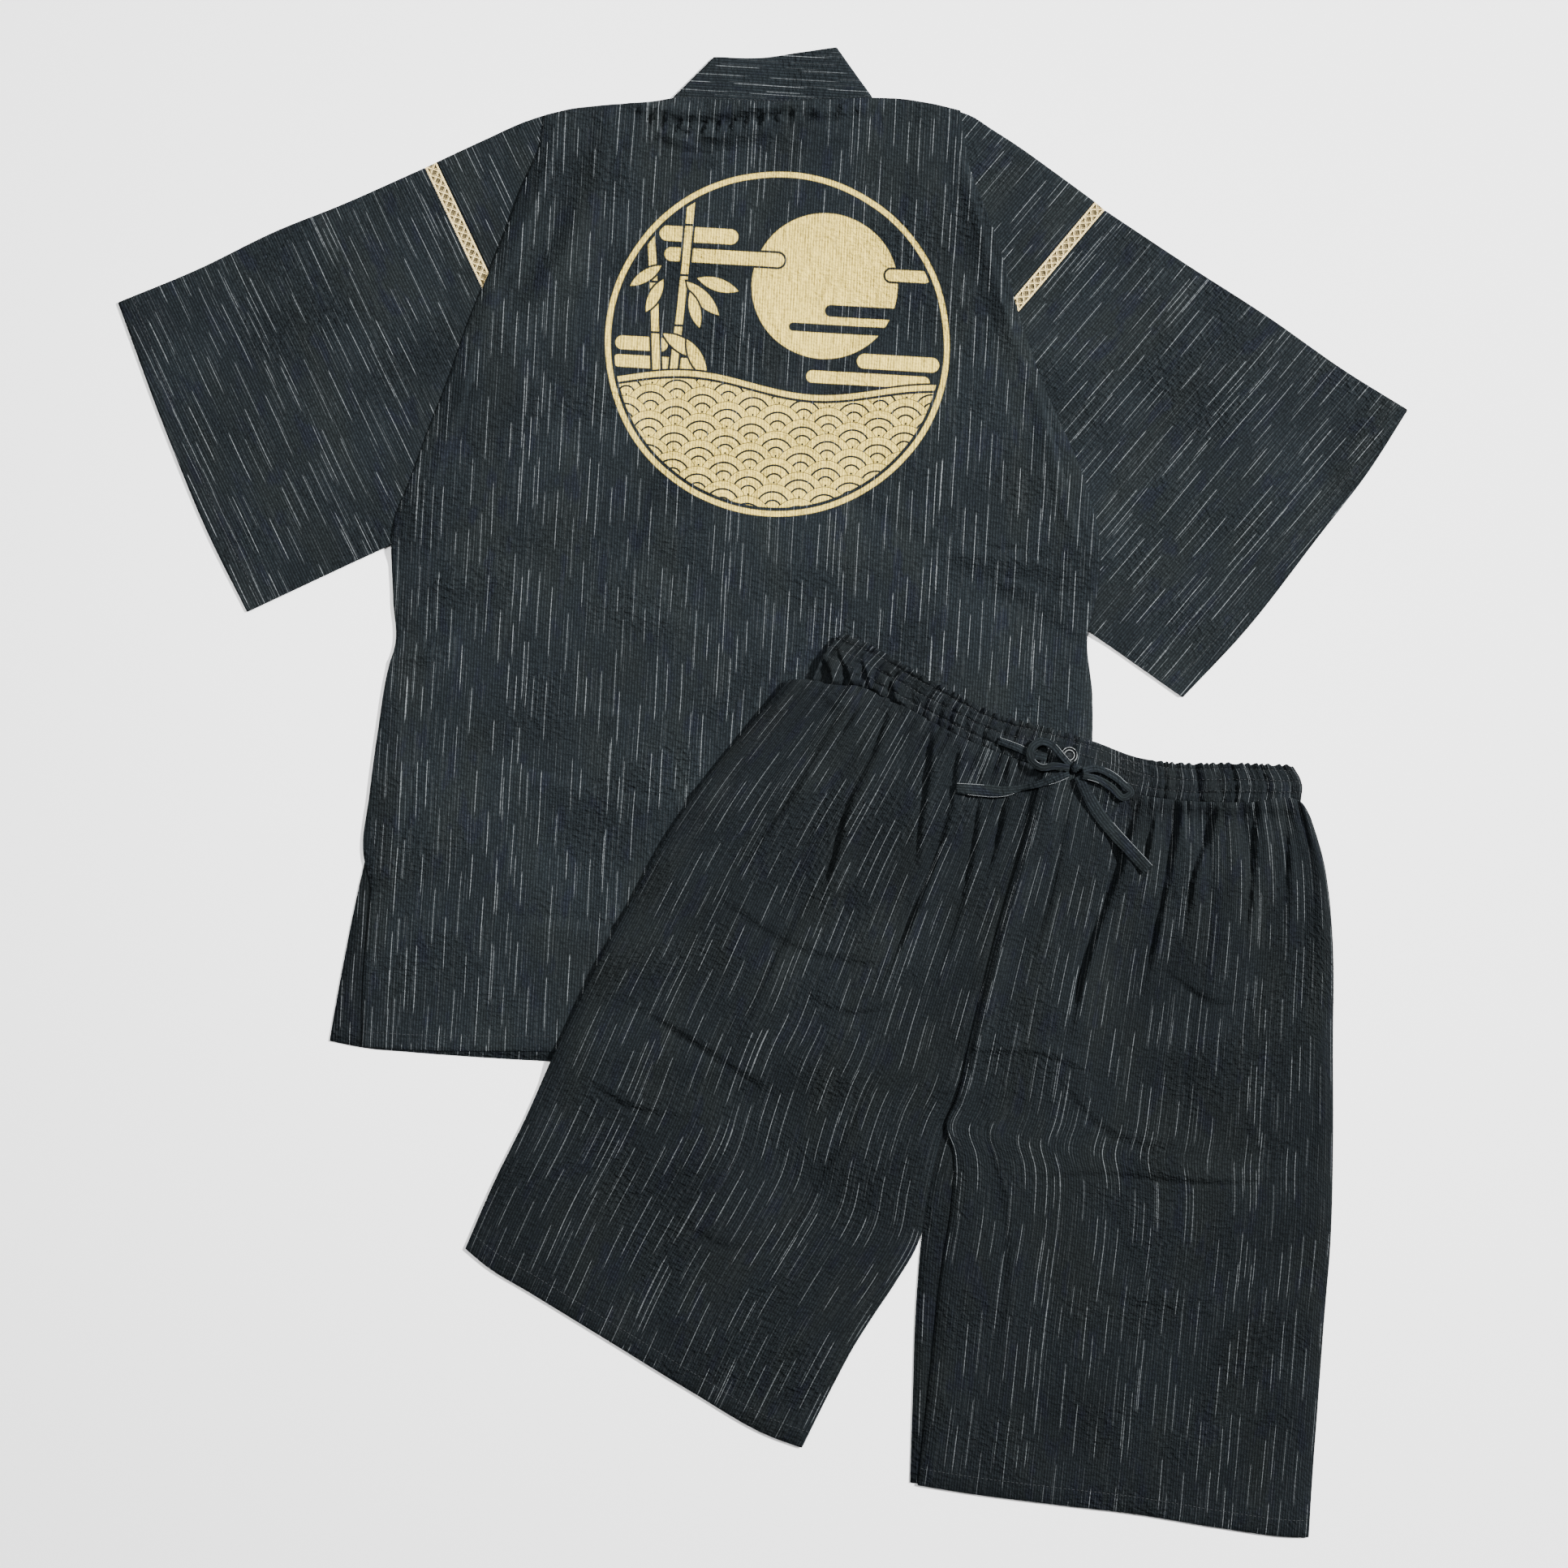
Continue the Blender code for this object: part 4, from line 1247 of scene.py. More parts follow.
NECK_LEFT, NECK_RIGHT = (-82, 3), (82, -7)
FOLD_LEFT, FOLD_RIGHT = (-187, 23), (155, -1)
SHOULDER_LEFT = [(-167, 17), (-134, 11), (-101, 7)]
SHOULDER_RIGHT = [(100, -8), (133, -5)]
TURNED_TOP_LEFT = [(-265, 63), (-233, 45), (-200, 28)]
TURNED_TOP_RIGHT = [(167, 4), (179, 11), (202, 24), (237, 46)]
NECK = [NECK_LEFT, (-37, 2), (0, 1), (43, -3), NECK_RIGHT]
SIDE_LEFT = [
    (-189, 48), (-202, 84), (-214, 124), (-226, 159), (-240, 200), (-252, 243), (-267, 289), (-280, 332),
    (-290, 362), (-288, 427), (-284, 466), (-288, 483), (-294, 537), (-298, 591), (-300, 640),
]
SIDE_RIGHT = [
    (168, 52), (183, 84), (197, 118), (211, 159), (228, 202), (247, 242), (263, 272), (279, 308), (290, 345),
    (290, 395), (285, 420), (292, 475), (295, 536), (298, 591), (300, 640),
]
SLIT_LEFT, SLIT_RIGHT = (-293, 664), (294, 664)
SLIT_EDGE_LEFT = [(-293, 690), (-294, 740)]
SLIT_EDGE_RIGHT = [(294, 700), (295, 745)]
HEM_LEFT, HEM_RIGHT = (-292, 798), (294, 796)
HEM = [(-249, 798), (-135, 793), (0, 791), (150, 791)]
FRONT_SLIT_LEFT = [(-303, 672), (-307, 699), (-314, 752)]
FRONT_SLIT_RIGHT = [(303, 672), (307, 699), (314, 752)]
FRONT_CORNER_LEFT, FRONT_CORNER_RIGHT = (-319, 795), (318, 794)
FRONT_HEM_LEFT = [(-289, 799), (-256, 800), (-155, 801)]
FRONT_HEM_RIGHT = [(155, 800), (256, 800), (289, 798)]
COLLAR_TOP = [(-50, -33), (-9, -35), (20, -41), (50, -47)]
FRONT_EDGE = [(-80, 8), (-62, 110), (-2, 260), (38, 400), (52, 560), (54, 785)]
BAND_EDGE = [(-46, -28), (-18, 100), (42, 245), (82, 392), (97, 560), (99, 785)]


@dataclass(frozen=True)
class SleeveCut:
    """One sleeve's outline beside its braid, and how the cloth is turned out beside the body."""

    side: Side
    braid_top: Pair
    run: Pair
    half_round: float
    top: tuple[Pair, ...]
    cuff: tuple[Pair, ...]
    underarm: Pair
    turned_top: tuple[Pair, ...]
    hidden: tuple[Pair, ...]

    @property
    def outward(self) -> Pair:
        """Away from the braid towards the body."""
        return (-self.run[1] * self.side.value, self.run[0] * self.side.value)


SLEEVE_CUTS = (
    SleeveCut(
        Side.LEFT, (-283, 72), (0.48, 0.877), 274.0, ((-353, 108), (-400, 130), (-466, 167)),
        ((-528, 197), (-480, 306), (-442, 384), (-407, 445)), (-290, 382),
        (*TURNED_TOP_LEFT[1:], FOLD_LEFT), ((-162, 16), (-150, 160), (-96, 288)),
    ),
    SleeveCut(
        Side.RIGHT, (279, 74), (-0.599, 0.801), 300.0, ((346, 113), (417, 153), (487, 196)),
        ((537, 223), (508, 275), (470, 331), (412, 415), (366, 470)), (285, 420),
        tuple(TURNED_TOP_RIGHT), ((132, -4), (112, 150), (48, 284)),
    ),
)


@dataclass
class Jacket:
    """The jacket, back side up."""

    cloth: StreakedCloth
    inner_cloth: StreakedCloth
    printed_cloth: StreakedCloth
    fine: float = 3.3
    coarse: float = 9.0
    loft: float = 1.7
    crease_gain: float = 1.25
    sleeve_loft: float = 1.1
    sleeve_length: float = 0.28
    beside_braid: float = 11.2
    right_front_rise: float = 7
    right_band_rise: float = 9
    band_seam: float = 0.8
    collar_seam: float = 0.4
    collar_loft: float = 0.5
    collar_wall: float = 1.7
    back_creases: tuple[Crease, ...] = (
        Crease(((-116, 9), (-83, 14), (-46, 14), (-12, 8), (34, 2)), 7.0, 7, 0),
        Crease(((22, 9), (52, 5), (88, -2)), 4.5, 5, 0),
        Crease(((-70, 27), (-50, 32), (-24, 30), (4, 23)), 3.4, 5, 0),
        Crease(((-92, 30), (-76, 38), (-58, 40)), 2.6, 5, 0),
        Crease(((-104, 19), (-56, 21), (9, 11), (80, -2)), -3.4, 5, 0, 1.5),
        Crease(((-106, 31), (-56, 33), (4, 24), (72, 13)), 3.4, 9, -1),
        Crease(((-84, 47), (-52, 49), (-18, 42)), 2.2, 8, -1),
        Crease(((20, 32), (50, 26), (84, 20)), 1.5, 8, -1),
        Crease(((-284, 466), (-262, 458), (-241, 448)), -3.0, 5, 0, 1.4),
        Crease(((-284, 477), (-258, 470), (-236, 460)), 3.2, 9, -1),
        Crease(((-264, 424), (-243, 408), (-224, 398)), 3.0, 10, -1),
        Crease(((-238, 476), (-238, 466), (-236, 452)), 1.6, 5),
        Crease(((151, 364), (210, 362), (278, 373)), 3.0, 15, -1),
        Crease(((180, 392), (220, 384), (262, 396)), 1.8, 10, -1),
        Crease(((-151, 30), (-178, 122), (-201, 175)), -1.7, 13),
        Crease(((-134, 26), (-146, 104), (-174, 160), (-206, 208)), 4.2, 15),
        Crease(((-112, 40), (-120, 84), (-122, 120)), 2.4, 12),
        Crease(((-172, 40), (-197, 120), (-224, 190)), 3.0, 13, -1),
        Crease(((140, 20), (165, 100), (200, 190)), -1.6, 14),
        Crease(((160, 40), (186, 115), (218, 200)), 2.6, 13, -1),
        Crease(((-226, 200), (-246, 290), (-264, 350)), 2.4, 11, -1),
        Crease(((228, 210), (252, 285), (274, 350)), 2.4, 11, -1),
        Crease(((-200, 560), (-60, 585), (60, 575)), 2.0, 26, -1),
        Crease(((-250, 700), (-120, 690), (-20, 712)), 1.8, 22, -1),
        Crease(((-120, 420), (-20, 436), (90, 420)), 1.5, 26, -1),
        Crease(((-150, 500), (-90, 512), (-20, 500)), 1.4, 18, -1),
        Crease(((-276, 520), (-270, 600), (-282, 655)), 2.0, 14, -1),
        *(Crease(((x, y), (x - 4, y + 5), (x - 6, y + 11)), rise, 4.5, 1) for x, y, rise in (
            (-104, 11, 2.6), (-93, 15, 3.6), (-83, 17, 3.0), (-71, 19, 3.8), (-61, 18, 3.2), (-50, 20, 3.8),
            (-38, 18, 3.0), (-27, 17, 3.6), (-16, 13, 2.8), (-3, 11, 3.4), (10, 9, 2.6), (23, 5, 3.0),
            (41, 3, 2.6), (60, -1, 2.8), (76, -2, 2.2),
        )),
    )
    made: dict[str, Sheet] = field(default_factory=dict)
    tubes: dict[str, "FlatTube"] = field(default_factory=dict)

    def straight(self, plan: Grid, seed: float) -> Grid:
        """Cloth coordinates of a panel cut with the warp straight down its plan."""
        return plan * METRE + np.array([0.37 * seed, 0.53 * seed])

    def build(self, ground: Ground) -> None:
        """Lays every panel, from the floor up.

        Args:
            ground: what is laid.
        """
        self._fronts(ground)
        for cut in SLEEVE_CUTS:
            self._sleeve(cut, ground)
            self._turned_side(cut, ground)
        self._collar_back(ground)
        ground.settle()
        self._back(ground)
        ground.settle()

    def _lay(self, name: str, plan: Grid, cloth: Grid, ground: Ground, **more: Any) -> Sheet:
        """Lays one panel and keeps it."""
        self.made[name] = lay(name, JACKET, plan, cloth, ground, **more)
        return self.made[name]

    def _fronts(self, ground: Ground) -> None:
        """The two fronts with their collar bands, the second over the first.

        Args:
            ground: what is laid.
        """
        shoulder_end = (-271, 69)
        outer = [shoulder_end, (-226, 157), *moved(SIDE_LEFT[4:], 2, 0), *FRONT_SLIT_LEFT, FRONT_CORNER_LEFT]
        top = [shoulder_end, *moved(TURNED_TOP_LEFT[1:], 0, 2), *moved(SHOULDER_LEFT, 0, 2), FRONT_EDGE[0]]
        hem = [FRONT_CORNER_LEFT, *FRONT_HEM_LEFT, (0, 797), FRONT_EDGE[-1]]
        plan = patch(top, FRONT_EDGE, hem, outer, self.coarse)
        self._lay("jacket_front_left", plan, self.straight(plan, 1.0), ground)
        self._front_band("collar_front_left", FRONT_EDGE, BAND_EDGE, ground)
        ground.settle()
        edge = [(-a, b - self.right_front_rise) for a, b in FRONT_EDGE]
        band = [(-a, b - self.right_band_rise) for a, b in BAND_EDGE]
        shoulder_end = (266, 67)
        outer = [shoulder_end, (208, 152), *moved(SIDE_RIGHT[4:], -2, 0), *FRONT_SLIT_RIGHT]
        outer.append(FRONT_CORNER_RIGHT)
        top = [edge[0], *moved(SHOULDER_RIGHT, 0, 2), *moved(TURNED_TOP_RIGHT, 0, 2), shoulder_end]
        hem = [edge[-1], (0, 795), *FRONT_HEM_RIGHT, FRONT_CORNER_RIGHT]
        plan = patch(top, outer, hem, edge, self.coarse)
        self._lay("jacket_front_right", plan, self.straight(plan, 2.0), ground)
        self._front_band("collar_front_right", edge, band, ground)
        ground.settle()

    def _front_band(self, name: str, seam: Sequence[Pair], free: Sequence[Pair], ground: Ground) -> None:
        """The collar band's stretch down one front edge; its warp runs along it.

        Args:
            name: the piece's name.
            seam: its sewn edge.
            free: its free edge.
            ground: what is laid.
        """
        seam = moved(seam, math.copysign(self.band_seam, free[0][0] - seam[0][0]), 0)
        first, second = (seam, free) if seam[0][0] < free[0][0] else (free, seam)
        plan = patch([first[0], second[0]], second, [first[-1], second[-1]], first, 6.0)
        cloth = np.dstack([reach_grid(plan, 1), reach_grid(plan, 0)]) * METRE + 4.1
        self._lay(name, plan, cloth, ground)

    def _sleeve(self, cut: SleeveCut, ground: Ground) -> None:
        """A sleeve as a flat open tube, its warp parallel to the braid.

        Args:
            cut: the sleeve's outline.
            ground: what is laid.
        """
        low = ahead(cut.braid_top, cut.run, cut.half_round)
        plan = patch(
            [cut.braid_top, *cut.top, cut.cuff[0]], cut.cuff, [low, cut.underarm, cut.cuff[-1]],
            [cut.braid_top, low], self.fine,
        )
        tube = FlatTube("sleeve_" + cut.side.word, JACKET, plan, cut.braid_top, cut.run, cut.outward)
        s, t = fraction_grid(plan.shape)
        lift = self.sleeve_loft * np.sin(math.pi * t) ** 0.6
        lift = lift * (0.9 + 0.3 * swells(plan, 3.0 * cut.side.value, 70.0))
        lift = lift * (0.25 + 0.75 * np.clip((1 - s) * 9, 0, 1))
        self.made[tube.name] = tube.lay(ground, lift)
        self.tubes[tube.name] = tube

    def _turned_side(self, cut: SleeveCut, ground: Ground) -> None:
        """The back's outer stretch past its fold, which lies turned out beside the braid.

        Args:
            cut: the outline of the sleeve beside it.
            ground: what is laid.
        """
        inner = ahead(cut.braid_top, cut.outward, self.beside_braid)
        low = ahead(inner, cut.run, cut.half_round)
        hidden = list(cut.hidden)
        if cut.side is Side.LEFT:
            plan = patch([inner, *cut.turned_top, hidden[0]], hidden, [low, hidden[-1]], [inner, low], 5.0)
        else:
            plan = patch([hidden[0], *cut.turned_top, inner], [inner, low], [hidden[-1], low], hidden, 5.0)
        cloth = cut_coordinates(plan, cut.braid_top, cut.outward, cut.run) + 0.8
        self._lay("back_side_" + cut.side.word, plan, cloth, ground)

    def _collar_back(self, ground: Ground) -> None:
        """The collar band's stretch at the back neck; its warp runs along it.

        Args:
            ground: what is laid.
        """
        seam = moved(NECK, 0, -self.collar_seam)
        left, right = [COLLAR_TOP[0], (-66, -15), seam[0]], [COLLAR_TOP[-1], (66, -27), seam[-1]]
        plan = patch(COLLAR_TOP, right, seam, left, 2.5)
        cloth = np.dstack([plan[..., 1], plan[..., 0]]) * METRE + 0.6
        lift = self.collar_loft * edge_fade(plan, 12.0)
        self._lay("collar_back", plan, cloth, ground, lift=lift, wall=self.collar_wall)

    def _back(self, ground: Ground) -> None:
        """The back with its print, creases and slit edges.

        Args:
            ground: what is laid.
        """
        top = [FOLD_LEFT, *SHOULDER_LEFT, *NECK, *SHOULDER_RIGHT, FOLD_RIGHT]
        left = [FOLD_LEFT, *SIDE_LEFT, SLIT_LEFT, *SLIT_EDGE_LEFT, HEM_LEFT]
        right = [FOLD_RIGHT, *SIDE_RIGHT, SLIT_RIGHT, *SLIT_EDGE_RIGHT, HEM_RIGHT]
        plan = patch(top, right, [HEM_LEFT, *HEM, HEM_RIGHT], left, self.fine)
        loft = (self.loft + 0.45 * swells(plan, 0.7, 80.0)) * edge_fade(plan, 14.0)
        lift = loft + self.crease_gain * creased(plan, self.back_creases)
        self._lay("jacket_back", plan, plan * METRE, ground, lift=lift)

    def dress(self) -> None:
        """Makes the meshes and puts each on the set in place of its solid."""
        plain = self.cloth.material()
        inner = self.inner_cloth.material()
        printed = self.printed_cloth.material()
        cuts: dict[str, tuple[Any, Pair, Optional[float]]] = {
            "jacket_front_left": (inner, (0.40, 0.80), 0.26),
            "jacket_front_right": (inner, (0.40, 0.80), 0.26),
            "collar_front_left": (inner, (0.045, 0.85), None),
            "collar_front_right": (inner, (0.045, 0.85), None),
            "collar_back": (plain, (0.165, 0.045), None),
            "back_side_left": (plain, (0.11, 0.29), 0.021),
            "back_side_right": (plain, (0.13, 0.32), 0.028),
            "jacket_back": (printed, (0.60, 0.80), 0.42),
        }
        for name, (finish, flat, area) in cuts.items():
            piece = self.made[name].make(finish)
            put(piece, [name], flat)
        for cut in SLEEVE_CUTS:
            name = "sleeve_" + cut.side.word
            piece = self.tubes[name].make(plain)
            put(piece, [name], (2 * cut.half_round * METRE, self.sleeve_length))


@dataclass
class FlatTube:
    """A sleeve pressed flat: rows run round its upper half from fold to seam, columns run along it."""

    name: str
    garment: Garment
    plan: Grid
    corner: Pair
    run: Pair
    outward: Pair
    wall: float = WALL
    grow: float = 1.4
    rings: dict[str, Grid] = field(default_factory=dict)

    INNER_BACK = 1.1
    INNER_NOSE = 0.8
    OUTER_NOSE = 0.5

    def lay(self, ground: Ground, lift: Grid) -> Sheet:
        """Lays both layers and notes them; returns the upper one.

        Args:
            ground: what is laid.
            lift: how far the upper layer stands off the lower one.

        Returns:
            The upper layer.
        """
        low_plan = self.plan.copy()
        away = self.plan[:, -1] - self.plan[:, -2]
        low_plan[:, -1] += unit(away) * self.grow
        floor = self.garment.place(self.plan)
        low_floor = self.garment.place(low_plan)
        low_under = ground.rest(low_floor)
        inside = ground.copy()
        inside.waiting = []
        inside.note(low_floor, low_under + self.wall)
        inside.settle()
        under = inside.rest(floor) + np.maximum(lift, 0.0)
        ground.note(floor, under + self.wall)
        cloth = cut_coordinates(self.plan, self.corner, self.outward, self.run)
        self.rings = {
            "floor": floor, "under": under, "low_floor": low_floor, "low": low_under, "cloth": cloth,
        }
        return Sheet(self.name, floor, under, under + self.wall, cloth)

    def make(self, material: bpy.types.Material) -> bpy.types.Object:
        """The tube as one closed mesh with an outer and an inner face.

        Args:
            material: its finish.

        Returns:
            The new piece.
        """
        floor, low_floor = self.rings["floor"], self.rings["low_floor"]
        under, low, cloth = self.rings["under"], self.rings["low"], self.rings["cloth"]
        fold, seam = unit(floor[0] - floor[1]), unit(floor[-1] - floor[-2])

        def skin(inner: bool) -> tuple[Grid, Grid]:
            """Rings of points on the outer or inner face, and their cloth coordinates.

            Args:
                inner: whether it is the inner face.

            Returns:
                The rings and their cloth coordinates.
            """
            back = -self.INNER_BACK * self.wall if inner else 0.0
            nose = (-self.INNER_NOSE if inner else self.OUTER_NOSE) * self.wall
            upper, lower = floor.copy(), low_floor.copy()
            for layer in (upper, lower):
                layer[0] += fold * back
                layer[-1] += seam * back
            high = under + (0.0 if inner else self.wall)
            deep = low + (self.wall if inner else 0.0)
            seam_nose = np.column_stack([floor[-1] + seam * nose, (high[-1] + deep[-1]) / 2])
            fold_nose = np.column_stack([floor[0] + fold * nose, (high[0] + deep[0]) / 2])
            ring = np.concatenate([
                np.dstack([upper, high]), seam_nose[None], np.dstack([lower, deep])[::-1], fold_nose[None],
            ])
            under_cloth = cloth[::-1] * np.array([1.0, -1.0])
            uv = np.concatenate([cloth, cloth[-1:], under_cloth, cloth[:1]])
            return ring, uv

        outer, uv = skin(False)
        inner, _ = skin(True)
        around, columns = outer.shape[:2]
        number = np.arange(around * columns).reshape(around, columns)
        count = around * columns
        faces = []
        for r in range(around):
            n = (r + 1) % around
            faces.append(quads(number[r], number[n]))
            faces.append(quads(number[r], number[n])[:, ::-1] + count)
        for column, flip in ((0, False), (columns - 1, True)):
            ends = quads(number[:, column], number[:, column] + count, True)
            faces.append(ends[:, ::-1] if flip else ends)
        points = np.concatenate([outer.reshape(-1, 3), inner.reshape(-1, 3)])
        cloth_points = np.concatenate([uv.reshape(-1, 2), uv.reshape(-1, 2)])
        return mesh_object(self.name + "_cloth", points, np.concatenate(faces), cloth_points, material)


# ---- shorts

BAND_LOW_A = [(-184, -58), (-166, -54), (-148, -53), (-127, -45), (-92, -27), (-60, -10), (-28, 3), (8, 14)]
BAND_LOW_B = [(8, 14), (44, 25), (82, 36), (107, 40), (172, 43), (218, 43)]
BAND_HIGH = [
    (-160, -96), (-133, -84), (-96, -62), (-62, -44), (-30, -28), (5, -19), (50, -6), (83, 6), (117, 11),
    (160, 11), (212, 13),
]
CROTCH = (-74, 309)
FLY_LINE = [(3, 29), (-9, 73), (-32, 150), (-54, 239), (-66, 290)]
OUTER_A = [
    (-203, -58), (-219, -40), (-247, -7), (-271, 23), (-299, 64), (-348, 152), (-397, 251), (-421, 305),
    (-447, 358),
]
HEM_A = [(-470, 411), (-452, 426), (-419, 446), (-352, 487), (-285, 528), (-218, 566), (-193, 575)]
INNER_A = [(-82, 334), (-90, 369), (-96, 403), (-116, 439), (-134, 466), (-151, 493), (-165, 519)]
OUTER_B = [
    (226, 55), (231, 70), (237, 92), (241, 117), (244, 150), (245, 251), (245, 328), (243, 405), (238, 466),
    (232, 546), (228, 600),
]
HEM_B = [(-97, 606), (-60, 612), (17, 622), (84, 630), (151, 641), (218, 649), (225, 649)]
INNER_B = [(-68, 330), (-69, 375), (-76, 420), (-90, 546)]
INNER_B_BACK = [(-87, 355), (-93, 397), (-98, 456), (-101, 540), (-103, 604)]
LAP = [(16, 19), (10, 40), (-2, 80), (-27, 155), (-51, 240), (-66, 292)]


@dataclass
class Shorts:
    """The shorts, front side up, over the jacket's lower corner."""

    cloth: StreakedCloth
    inner_cloth: StreakedCloth
    fine: float = 2.4
    coarse: float = 8.0
    loft: float = 2.0
    crease_gain: float = 0.78
    gather_rise: float = 4.8
    broad_rise: float = 4.2
    broad_pitch: float = 2.9
    front_seam: float = 0.5
    back_seam: float = 4.8
    band_deep: float = 30.0
    ruffle: float = 5.6
    ruffle_pitch: float = 6.6
    puff_pitch: float = 13.4
    flat_at: float = 0.635
    flat_reach: float = 0.085
    crumple_reach: float = 0.12
    elastic_rows: tuple[float, ...] = (4.5, 14.0, 23.5)
    elastic_breadth: float = 1.3
    cut_width: float = 0.33
    band_creases: tuple[Crease, ...] = (
        Crease(((-179, -82), (-170, -66), (-167, -50)), 4.2, 8, 1),
        Crease(((-162, -80), (-154, -62), (-151, -44)), 4.2, 8, 1),
        Crease(((-143, -74), (-138, -58), (-136, -40)), 3.6, 7, 1),
        Crease(((-120, -62), (-117, -46), (-112, -30)), 2.6, 7, 1),
    )
    right_creases: tuple[Crease, ...] = (
        Crease(((-192, -58), (-176, -62), (-162, -50), (-150, -47)), 5.0, 6, 0),
        Crease(((-176, -46), (-160, -38), (-142, -38)), 3.4, 6, 0),
        Crease(((-117, -42), (-132, 4), (-151, 43), (-165, 92), (-176, 130)), 5.2, 14, 1),
        Crease(((-84, -22), (-87, 18), (-93, 60), (-97, 92)), 4.8, 12, 1),
        Crease(((-62, -8), (-68, 43), (-79, 86), (-101, 141), (-126, 193)), 5.2, 14, 1),
        Crease(((-44, 4), (-47, 60), (-58, 120), (-80, 190)), 3.6, 11, 1),
        Crease(((-22, 8), (-27, 60), (-40, 110)), 3.8, 9, 1),
        Crease(((-138, -48), (-150, -26), (-166, -2)), 3.4, 10, 1),
        Crease(((-325, 211), (-275, 240), (-221, 278)), 3.4, 24, 1),
        Crease(((-372, 268), (-330, 292), (-292, 300)), 2.6, 16, 1),
        Crease(((-260, 120), (-190, 160), (-120, 176)), 2.4, 26, 1),
        Crease(((-160, -30), (-200, 40), (-250, 110)), 3.6, 15, 1),
        Crease(((-140, 60), (-200, 150), (-250, 250)), 2.6, 20, 1),
        Crease(((-120, 250), (-160, 330), (-210, 420)), 2.2, 24, 1),
        Crease(((-190, 200), (-150, 214), (-110, 205)), 2.6, 14, 1),
        Crease(((-300, 380), (-250, 405), (-200, 400)), 1.8, 24, 1),
    )
    left_creases: tuple[Crease, ...] = (
        Crease(((84, 50), (76, 86), (57, 137), (42, 182), (33, 220)), 8.0, 19, 1),
        Crease(((5, 34), (-5, 73), (-28, 150), (-50, 239), (-62, 290)), 3.2, 8, 1),
        Crease(((152, 40), (144, 70), (134, 97), (126, 140)), 5.2, 13, 1),
        Crease(((121, 40), (115, 80), (106, 130), (92, 190)), 5.2, 13, 1),
        Crease(((181, 40), (182, 70), (181, 97), (176, 150)), 4.2, 12, 1),
        Crease(((101, 40), (96, 70), (88, 110)), 3.6, 9, 1),
        Crease(((208, 44), (210, 110), (206, 170)), 3.2, 11, 1),
        Crease(((30, 34), (22, 90), (0, 170)), 2.6, 14, 1),
        Crease(((-60, 246), (-30, 247), (2, 248), (40, 262)), 3.2, 12, 1),
        Crease(((-5, 351), (60, 347), (140, 354), (224, 351)), 3.0, 15, 1),
        Crease(((110, 182), (150, 205), (190, 200)), 2.6, 18, 1),
        Crease(((232, 251), (229, 300), (225, 338)), -1.8, 5, 0, 1.5),
        Crease(((20, 270), (60, 310), (130, 330)), 2.0, 22, 1),
        Crease(((-40, 300), (-20, 400), (-30, 500)), 1.9, 20, 1),
        Crease(((40, 440), (120, 455), (190, 430)), 1.8, 26, 1),
    )
    made: dict[str, Sheet] = field(default_factory=dict)

    def _lay(self, name: str, plan: Grid, cloth: Grid, ground: Ground, **more: Any) -> Sheet:
        """Lays one panel and keeps it."""
        self.made[name] = lay(name, SHORTS, plan, cloth, ground, **more)
        return self.made[name]

    def fanned(self, plan: Grid, width: float, start: float) -> Grid:
        """Cloth coordinates of a gathered panel: its warp follows the columns of its plan."""
        s, _ = fraction_grid(plan.shape)
        return np.dstack([s * width + start, reach_grid(plan, 0) * METRE])

    def pleats(self, turns: Grid, seed: float) -> tuple[Grid, Grid, Grid]:
        """Rounded ridges with sharp valleys, and two numbers from 0 to 1 that differ from ridge to ridge.

        Args:
            turns: a length in ridges.
            seed: tells one row of ridges from another.

        Returns:
            The ridges' heights and the two numbers.
        """
        number = np.floor(turns + 0.5)
        first = np.mod(np.sin(number * 12.9898 + seed * 78.233) * 437.585, 1.0)
        second = np.mod(np.sin(number * 39.346 + seed * 11.135) * 437.585, 1.0)
        return np.abs(np.cos(math.pi * turns)) ** 0.62, first, second

    def gathers(self, plan: Grid, pitch: float, seed: float, run: float, rise: float) -> Grid:
        """Uneven gathers that start at the plan's top edge; some die out soon and some run on.

        Args:
            plan: the points.
            pitch: about how far apart they are.
            seed: tells one row of gathers from another.
            run: about how far they reach.
            rise: how high they are.

        Returns:
            A rise for each point.
        """
        across = reach_grid(plan, 1)[:1] + 0 * plan[..., 0]
        down = reach_grid(plan, 0)
        turns = across / pitch + 0.5 * wander(across / (pitch * 5.3), seed) + 0.10 * np.sin(down / 30 + seed)
        ridge, first, second = self.pleats(turns, seed)
        reach = run * (0.3 + 1.2 * first**2)
        return rise * ridge * (0.35 + 0.65 * second) * np.clip(1 - down / reach, 0.0, 1.0) ** 1.2

    def build(self, ground: Ground) -> None:
        """Lays every panel, from the floor up.

        Args:
            ground: what is laid.
        """
        self._backs(ground)
        self._fly(ground)
        self._waistband(ground)
        self._fronts(ground)

